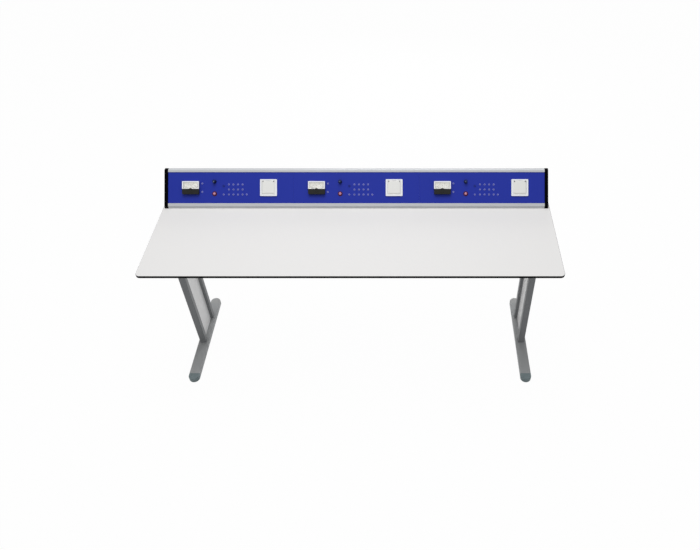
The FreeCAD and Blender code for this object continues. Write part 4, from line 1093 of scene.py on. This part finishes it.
class LABTABLE_OT_outlets(bpy.types.Operator):
    """Build the outlet frames and what the cups hold, and finish inserts, pins and lids"""

    bl_idname = "labtable.outlets"
    bl_label = "Mains outlets"

    def execute(self, context):
        sizes = context.scene.lab_table_sizes
        for station in STATIONS:
            low, high, half, place = seat("outlet_frames", station)
            insert_low, insert_high = part_box(f"outlet_insert_{station}", station)
            opening = insert_high.x - insert_low.x + 2 * sizes.frame_gap
            self.build_frame(station, place, 2 * half, opening, high.z, sizes)
            self.build_cup(station, place)
            self.build_spring(station, sizes)
            self.build_lid(station, sizes)
            dress(f"outlet_insert_{station}")
        dress("lid_hinge_pins")
        return {"FINISHED"}

    def build_frame(self, station, place, side, opening_side, height, sizes):
        """Square ring with rounded corners and a rounded outer edge."""
        ring = bmesh.new()
        bmesh.ops.create_grid(ring, x_segments=1, y_segments=1, size=side / 2)
        width = (side - opening_side) / 2
        border = bmesh.ops.inset_region(
            ring, faces=ring.faces[:], thickness=width, use_even_offset=True, use_boundary=True,
        )["faces"]
        opening = [face for face in ring.faces if face not in border]
        bmesh.ops.delete(ring, geom=opening, context="FACES")
        lift(ring, bmesh.ops.extrude_face_region(ring, geom=ring.faces[:])["geom"], (0, 0, height))
        bmesh.ops.recalc_face_normals(ring, faces=ring.faces)
        outer = side / 2 - width / 2
        soften(ring, [edge for edge in standing(ring) if abs(edge.verts[0].co.x) > outer], 3.0 * MM, 5)
        upper = edges_at(ring, height)
        far = [edge for edge in upper if all(max(map(abs, v.co.xy)) > outer for v in edge.verts)]
        soften(ring, far, sizes.frame_round, 6)
        upper = edges_at(ring, height)
        near = [edge for edge in upper if all(max(map(abs, v.co.xy)) < outer - MM for v in edge.verts)]
        soften(ring, near, 0.5 * MM, 2)
        piece(
            f"outlet_surround_{station}", ring, "table", "white_plastic", place, replaces=["outlet_frames"],
        )

    def build_cup(self, station, place):
        """Earth clips, guide ribs, pin sleeves and the middle screw inside the cup."""
        middle, radius, depth = mouth_of(mounts[f"mains_outlet_{station}"])
        middle = on_station(station, middle)
        mouth = middle.z
        floor = mouth - depth
        clips = []
        ribs = []
        clip_width, clip_wall = 4.6 * MM, 0.5 * MM
        for turn in (90, 270):
            spring = [(radius - 0.3 * MM, floor), (radius - 0.7 * MM, floor + 4 * MM)]
            spring += [(radius - 1.9 * MM, floor + 9 * MM), (radius - 0.7 * MM, floor + 14 * MM)]
            strip = self.strip(spring, clip_width, clip_wall)
            clips.append(placed(strip, Matrix.Rotation(math.radians(turn), 4, "Z")))
        rib_offset, rib_half, rib_reach = 3.2 * MM, 0.6 * MM, 1.6 * MM
        for turn in (0, 180):
            for side in (-1, 1):
                rib = block(
                    (radius - rib_reach, side * rib_offset - rib_half, floor),
                    (radius - 0.05 * MM, side * rib_offset + rib_half, mouth - 3 * MM),
                    rim=0.3 * MM, steps=2,
                )
                ribs.append(placed(rib, Matrix.Rotation(math.radians(turn), 4, "Z")))
        sleeves = []
        for hand in ("left", "right"):
            point, bore, depth = mouth_of(mounts[f"mains_outlet_{station}_pin_{hand}"])
            offset = on_station(station, point).x - middle.x
            outer, inner = bore - 0.05 * MM, bore - 0.5 * MM
            foot, lip = -depth + 0.1 * MM, -1.2 * MM
            hollow = foot + 0.5 * MM
            profile = [(0.0, foot), (outer, foot), (outer, lip), (inner, lip), (inner, hollow), (0.0, hollow)]
            sleeves.append(placed(turned(profile, 24), at(offset, 0, floor)))
        screw = placed(screw_shape(3.2 * MM, 1.6 * MM, 1.4 * MM, 0.5 * MM, "cross"), at(0, 0, floor))
        for name, shapes, slot in (
            ("earth_clips", clips, "nickel_nut"), ("guide_ribs", ribs, "white_plastic"),
            ("pin_sleeves", sleeves, "nickel_nut"), ("middle_screw", [screw], "zinc_screw"),
        ):
            piece(f"outlet_{name}_{station}", joined(*shapes), "table", slot, place)

    def strip(self, line, width, wall):
        """Bent metal strip whose side view is a line of (x, z) points."""
        bm = bmesh.new()
        bends = [bm.verts.new((x, -width / 2, z)) for x, z in line]
        edges = [bm.edges.new(pair) for pair in zip(bends, bends[1:])]
        lift(bm, bmesh.ops.extrude_edge_only(bm, edges=edges)["geom"], (0, width, 0))
        bmesh.ops.recalc_face_normals(bm, faces=bm.faces)
        bmesh.ops.solidify(bm, geom=bm.faces, thickness=wall)
        return bm

    def build_lid(self, station, sizes):
        """Bevelled lid with its knuckle, the pocket under it and the slots for the hinge lugs; also dark skins
        round the lugs, painted shade in the slots.
        """
        low, high = part_box(f"outlet_lid_{station}", station)
        centre = (low.x + high.x) / 2
        half = (high.x - low.x) / 2
        hinge = on_station(station, joints[f"lid_{station}_hinge"]["pos_m"])
        knuckle = high.y - hinge.y
        edge = low.z + sizes.lid_edge
        section = [
            (low.y, low.z), (low.y, edge), (low.y + sizes.lid_front_bevel, high.z),
            (hinge.y - knuckle, high.z),
        ]
        section += arc((hinge.y, hinge.z), knuckle, 90, -90, 12)
        lid = drawn(section, -half, 2 * half)
        for hand in (-1, 1):
            slope = Vector((hand * (high.z - edge), 0, sizes.lid_side_bevel)).normalized()
            bmesh.ops.bisect_plane(
                lid, geom=lid.verts[:] + lid.edges[:] + lid.faces[:], plane_co=(hand * half, 0, edge),
                plane_no=slope, clear_outer=True,
            )
            bmesh.ops.holes_fill(lid, edges=[rim for rim in lid.edges if rim.is_boundary])
        bmesh.ops.recalc_face_normals(lid, faces=lid.faces)
        top = []
        for rim in edges_at(lid, high.z):
            slopes = {round(side.normal.z, 2) for side in rim.link_faces}
            if len(slopes) > 1:
                top.append(rim)
        soften(lid, top, 0.6 * MM, 3)
        wall = sizes.lid_wall
        pocket_end, pocket_depth = hinge.y - 6.4 * MM, 2.4 * MM
        pocket = block(
            (-half + wall, low.y + wall + MM, low.z - MM),
            (half - wall, pocket_end, low.z + pocket_depth), upright=2.0 * MM,
        )
        cutters = [pocket]
        slot_end = hinge.y - 4.4 * MM
        lugs = []
        insert_top = low.z - sizes.frame_gap
        for hand in (-1, 1):
            offset = hand * sizes.lug_offset
            cutters.append(block(
                (offset - sizes.lug_slot / 2, slot_end, low.z - MM),
                (offset + sizes.lug_slot / 2, high.y + MM, high.z + MM),
            ))
            # Dark skin over each lug, painted shade in its slot
            lugs.append(self.lug_cover(offset, hinge, knuckle, insert_top, sizes))
        spring_half, spring_room = 7.25 * MM, 1.8 * MM
        cutters.append(block(
            (-spring_half, hinge.y - spring_room, low.z - MM),
            (spring_half, high.y + MM, hinge.z + spring_room),
        ))
        pin_low, pin_high = part_box("lid_hinge_pins", station)
        reach = (pin_high.x - pin_low.x) / 2 + 0.25 * MM
        bore_radius = 1.12 * MM
        bore = prism(24, bore_radius, -reach, reach)
        cutters.append(placed(bore, facing((0, hinge.y, hinge.z), ALONG)))
        piece(
            f"lid_shell_{station}", carved(lid, *cutters), f"lid_{station}", "white_lid",
            station_place(station) @ at(centre, 0), replaces=[f"outlet_lid_{station}"],
        )
        # The dark skins over the lugs are painted shade
        piece(
            f"hinge_lug_covers_{station}", joined(*lugs), "table", "white_plastic",
            station_place(station) @ at(centre, 0), material="hinge_lug",
        )

    def lug_cover(self, offset, hinge, knuckle, low, sizes):
        """Dark skin close round a hinge lug: painted shade for the lid's slot."""
        skin = 0.04 * MM
        line = arc((hinge.y, hinge.z), knuckle + skin, 0, 180, 16)
        line += [(line[-1][0], low + skin), (line[0][0], low + skin)]
        return drawn(line, offset - sizes.lug_width / 2 - skin, sizes.lug_width + 2 * skin)

    def build_spring(self, station, sizes):
        """Torsion spring round the hinge pin."""
        low, high = part_box("lid_springs", station)
        middle = (low + high) / 2
        reach = (high.z - low.z) / 2
        wire = sizes.spring_wire / 2
        length = high.x - low.x - 2 * wire
        pitch = sizes.spring_wire * 1.25
        section = arc((reach - wire, 0.0), wire, 0, 360, 6)
        spring = coil(section, math.floor(length / pitch), pitch, 14)
        stand = facing((middle.x - length / 2, middle.y, middle.z), ALONG)
        piece(
            f"lid_spring_coil_{station}", spring, "table", "steel_pin", station_place(station) @ stand,
            replaces=["lid_springs"],
        )


# Fasteners

def screw_shape(head_radius, head_height, shank_radius, length, drive):
    """Screw along Z with its head's seat at height 0 and its shank below."""
    shoulder = head_height * 0.45
    profile = [
        (0.0, -length), (shank_radius * 0.7, -length), (shank_radius, -length + shank_radius * 0.3),
        (shank_radius, 0.0), (head_radius, 0.0), (head_radius, shoulder),
        (head_radius * 0.94, head_height * 0.75), (head_radius * 0.74, head_height * 0.95),
        (head_radius * 0.55, head_height), (0.0, head_height),
    ]
    screw = turned(profile, 32)
    floor = shoulder
    if drive == "hex":
        return carved(screw, prism(6, head_radius * 0.45, floor, head_height + MM))
    arm = head_radius * 0.62
    width = head_radius * 0.13
    blades = [
        block((-arm, -width, floor), (arm, width, head_height + MM)),
        block((-width, -arm, floor), (width, arm, head_height + MM)),
    ]
    return carved(screw, *blades)


def bolt_shape(corner_radius, head_height, shank_radius, length):
    """Hexagon bolt along Z with a turned washer face under its head."""
    collar = head_height * 0.12
    head = prism(6, corner_radius, collar, head_height, rim=head_height * 0.12, steps=2)
    face = prism(32, corner_radius * 0.84, 0.0, collar * 1.1)
    shank = prism(24, shank_radius, -length, 0.1 * MM)
    return joined(head, face, shank)


def fastener_places(node, axis_of):
    """Head end, axis, length and head radius of each screw in a node."""
    places = []
    for low, high in solids(node):
        middle = (low + high) / 2
        axis = axis_of(middle)
        size = high - low
        length = abs(size.dot(axis))
        across = sorted(abs(size[place]) for place in range(3) if abs(axis[place]) < 0.5)
        places.append((middle + axis * length / 2, axis, length, across[1] / 2))
    return places


def sideways(middle):
    return Vector((math.copysign(1, middle.x), 0, 0))


def downwards(middle):
    return Vector((0, 0, -1))


class LABTABLE_OT_fasteners(bpy.types.Operator):
    """Build the screws and bolts with their drives"""

    bl_idname = "labtable.fasteners"
    bl_label = "Fasteners"

    def execute(self, context):
        self.fasten("end_cap_screws", "_driven", "black_screw", sideways, screw_shape, 2.6, 2.1, "cross")
        self.fasten("infill_screws", "_driven", "zinc_screw", sideways, screw_shape, 2.0, 2.0, "hex")
        self.fasten("worktop_screws", "_driven", "zinc_screw", downwards, screw_shape, 3.2, 3.0, "cross")
        self.fasten("beam_bolts", "_chamfered", "zinc_screw", sideways, bolt_shape, 5.0, 4.0)
        dress("console_fixings")
        return {"FINISHED"}

    def fasten(self, node, ending, slot, axis_of, shape, head_height, shank_radius, *drive):
        """Put a shape at each fastener of a node; its head's height and shank's radius are millimetres."""
        head = head_height * MM
        shapes = []
        for end, axis, length, radius in fastener_places(node, axis_of):
            made = shape(radius, head, shank_radius * MM, length - head, *drive)
            shapes.append(placed(made, facing(end - axis * head, axis)))
        piece(node + ending, joined(*shapes), "table", slot, replaces=[node])


# Cable gland and levelling feet

class LABTABLE_OT_cable_gland(bpy.types.Operator):
    """Build the blanked cable gland on the console's rear wall"""

    bl_idname = "labtable.cable_gland"
    bl_label = "Cable gland"

    def execute(self, context):
        low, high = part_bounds("cable_gland")
        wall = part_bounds("console_housing")[1].y
        opening, mouth, depth = mouth_of(mounts["supply_lead_entry"])
        reach = high.y - wall
        hexagon = 4.0 * MM
        dome = 10.0 * MM
        thread_radius = 8.0 * MM
        place = facing((opening.x, wall, opening.z), (0, 1, 0))
        spin = Matrix.Rotation(math.radians(30 if high.z - low.z > high.x - low.x else 0), 4, "Z")
        nut = placed(prism(6, max(high.x - low.x, high.z - low.z) / 2, 0.0, hexagon, rim=0.5 * MM), spin)
        thread = prism(48, thread_radius, low.y - wall, 0.1 * MM)
        floor = reach - depth
        profile = [
            (0.0, hexagon - 0.5 * MM), (dome, hexagon - 0.5 * MM), (dome, hexagon + 0.3 * MM),
            (dome - 0.2 * MM, hexagon + 0.5 * MM), (dome - 0.2 * MM, hexagon + 4.5 * MM),
            (dome - 0.7 * MM, reach - 1.5 * MM), (dome - 1.6 * MM, reach - 0.4 * MM),
            (dome - 2.6 * MM, reach), (mouth + 0.8 * MM, reach), (mouth + 0.5 * MM, reach - 0.3 * MM),
            (mouth + 0.5 * MM, floor), (0.0, floor),
        ]
        grooves, groove_depth = 16, 0.7 * MM
        ends = (hexagon + 0.4 * MM, reach - 0.3 * MM)
        cap = flute(turned(profile, 96), grooves, groove_depth, *ends, dome - 1.8 * MM)
        piece(
            "cable_gland_body", joined(nut, cap, thread), "table", "gland_plastic", place,
            replaces=["cable_gland"],
        )
        seal = [
            (0.0, floor + 0.05 * MM), (mouth + 0.45 * MM, floor + 0.05 * MM),
            (mouth + 0.45 * MM, reach - 0.5 * MM),
            (mouth, reach - 0.8 * MM), (mouth, floor + 0.9 * MM), (mouth * 0.75, floor + 0.7 * MM),
            (mouth * 0.4, floor + 0.95 * MM), (0.0, floor + 1.05 * MM),
        ]
        piece("cable_gland_seal", turned(seal, 48), "table", "gland_plastic", place, material="gland_seal")
        return {"FINISHED"}


class LABTABLE_OT_levelling_feet(bpy.types.Operator):
    """Build the levelling feet with their threaded stems"""

    bl_idname = "labtable.levelling_feet"
    bl_label = "Levelling feet"

    def execute(self, context):
        sizes = context.scene.lab_table_sizes
        for end in ("front", "rear"):
            for side in ("left", "right"):
                low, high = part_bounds(f"levelling_foot_{end}_{side}")
                centre = (low + high) / 2
                place = at(centre.x, centre.y)
                radius = (high.x - low.x) / 2
                shape = self.foot(radius, high.z, sizes)
                piece(
                    f"levelling_glide_{end}_{side}", shape, f"foot_{end}_{side}", "glide_steel", place,
                    replaces=[f"levelling_foot_{end}_{side}"],
                )
        return {"FINISHED"}

    def foot(self, radius, top, sizes):
        """Dished pad under a threaded stem."""
        rim = 6.0 * MM
        stem = 4.0 * MM
        root = stem - 0.6 * MM
        profile = [
            (0.0, 0.6 * MM), (radius - 4 * MM, 0.6 * MM), (radius - 3 * MM, 0.0),
            (radius - 0.8 * MM, 0.0), (radius - 0.2 * MM, 0.3 * MM), (radius, 1.0 * MM),
            (radius, 3.4 * MM), (radius - 0.4 * MM, 4.2 * MM), (radius - 1.4 * MM, 4.6 * MM),
            (stem + 5 * MM, 5.2 * MM), (stem + 3 * MM, rim), (0.0, rim),
        ]
        pitch = sizes.thread_pitch
        thread = [(root, 0.0), (stem, pitch * 0.4), (stem, pitch * 0.55), (root, pitch)]
        turns = math.floor((top - rim) / pitch) - 1
        core = prism(24, root + 0.1 * MM, rim - MM, top, rim=0.5 * MM)
        screw = placed(coil(thread, turns, pitch, 20), at(0, 0, rim + 0.2 * MM))
        return joined(turned(profile, 72), core, screw)


# Stage

class LABTABLE_OT_stage(bpy.types.Operator):
    """Set up the camera, the soft lamps and the pale floor"""

    bl_idname = "labtable.stage"
    bl_label = "Stage"

    def execute(self, context):
        scene = context.scene
        stage = scene.lab_table_stage
        scene.view_settings.view_transform = "Standard"
        self.set_camera(scene, stage)
        self.set_sky(scene, stage)
        self.set_floor(scene, stage)
        self.add_lamp(scene, "key", (-0.15, 0.3, 4.6), 2.6, stage.key_power)
        self.add_lamp(scene, "back", (0.3, 3.2, 1.6), 2.0, stage.back_power)
        return {"FINISHED"}

    def set_camera(self, scene, stage):
        photo_width = 700
        data = bpy.data.cameras.new("camera")
        data.sensor_width = 36.0
        data.lens = data.sensor_width * stage.focal_pixels / photo_width
        data.shift_x = (photo_width / 2 - stage.axis_pixel) / photo_width
        data.clip_end = 100.0
        camera = bpy.data.objects.new("camera", data)
        camera.location = stage.camera_place
        camera.rotation_euler = (math.pi / 2 - stage.camera_tilt, 0.0, 0.0)
        scene.collection.objects.link(camera)
        scene.camera = camera

    def seen_directly(self, holder):
        """1 for the rays that show a background: those of the camera, and through gloss and glass."""
        path = add(holder, "LightPath").outputs
        first = {0: path["Is Camera Ray"], 1: path["Is Glossy Ray"]}
        either = add(holder, "Math", first, operation="MAXIMUM").outputs[0]
        every = {0: either, 1: path["Is Transmission Ray"]}
        return add(holder, "Math", every, operation="MAXIMUM").outputs[0]

    def set_sky(self, scene, stage):
        """Soft light from all round, with a white background behind it."""
        world = bare(bpy.data.worlds.new("studio"))
        soft = add(world, "Background", {"Color": (1, 1, 1, 1), "Strength": stage.sky_strength})
        white = add(world, "Background", {"Color": (1, 1, 1, 1), "Strength": 1.0})
        mix = {0: self.seen_directly(world), 1: soft.outputs[0], 2: white.outputs[0]}
        add(world, "OutputWorld", {"Surface": add(world, "MixShader", mix).outputs[0]})
        scene.world = world

    def set_floor(self, scene, stage):
        """Floor that keeps the table's shadow and otherwise shows as plain white."""
        bm = bmesh.new()
        bmesh.ops.create_circle(bm, cap_ends=True, segments=96, radius=stage.floor_radius)
        mesh = bpy.data.meshes.new("floor")
        bm.to_mesh(mesh)
        bm.free()
        material = bare(bpy.data.materials.new("pale floor"))
        matt = add(material, "BsdfDiffuse", {"Color": (0.7, 0.7, 0.7, 1)})
        white = add(material, "Emission", {"Color": (1, 1, 1, 1), "Strength": 1.0})
        seen = self.seen_directly(material)
        share = add(material, "Math", {0: seen, 1: stage.floor_white}, operation="MULTIPLY").outputs[0]
        mix = {0: share, 1: matt.outputs[0], 2: white.outputs[0]}
        add(material, "OutputMaterial", {"Surface": add(material, "MixShader", mix).outputs[0]})
        mesh.materials.append(material)
        floor = bpy.data.objects.new("floor", mesh)
        scene.collection.objects.link(floor)

    def add_lamp(self, scene, name, point, size, power):
        data = bpy.data.lights.new(name, "AREA")
        data.shape = "SQUARE"
        data.size = size
        data.energy = power
        lamp = bpy.data.objects.new(name, data)
        lamp.location = point
        worktop_middle = Vector((0, 0, 0.7))
        lamp.rotation_euler = (worktop_middle - Vector(point)).to_track_quat("-Z", "Y").to_euler()
        lamp.visible_camera = False
        scene.collection.objects.link(lamp)


class LABTABLE_PT_panel(bpy.types.Panel):
    """Sidebar panel with the table's settings and pieces"""

    bl_idname = "LABTABLE_PT_panel"
    bl_label = "Science Lab Table"
    bl_space_type = "VIEW_3D"
    bl_region_type = "UI"
    bl_category = "Lab Table"

    def draw(self, context):
        layout = self.layout
        for group_name in GROUPS:
            group = getattr(context.scene, group_name)
            box = layout.box()
            box.label(text=group_name.split("_")[-1].capitalize())
            for name in group.__annotations__:
                box.prop(group, name)
        for operator in OPERATORS:
            layout.operator(operator.bl_idname)


GROUPS = {
    "lab_table_sizes": LabTableSizes,
    "lab_table_finishes": LabTableFinishes,
    "lab_table_stage": LabTableStage,
}
OPERATORS = (
    LABTABLE_OT_worktop,
    LABTABLE_OT_console_shell,
    LABTABLE_OT_legs,
    LABTABLE_OT_hidden_parts,
    LABTABLE_OT_meters,
    LABTABLE_OT_test_sockets,
    LABTABLE_OT_control_knobs,
    LABTABLE_OT_push_buttons,
    LABTABLE_OT_fuse_caps,
    LABTABLE_OT_outlets,
    LABTABLE_OT_fasteners,
    LABTABLE_OT_cable_gland,
    LABTABLE_OT_levelling_feet,
    LABTABLE_OT_stage,
)


CLASSES = (*GROUPS.values(), *OPERATORS, LABTABLE_PT_panel)


def register():
    for added in CLASSES:
        bpy.utils.register_class(added)
    for name, group in GROUPS.items():
        setattr(bpy.types.Scene, name, PointerProperty(type=group))


def unregister():
    for name in GROUPS:
        delattr(bpy.types.Scene, name)
    for added in reversed(CLASSES):
        bpy.utils.unregister_class(added)


def main():
    register()
    for operator in OPERATORS:
        group, name = operator.bl_idname.split(".")
        getattr(getattr(bpy.ops, group), name)()


if __name__ == "__main__":
    main()
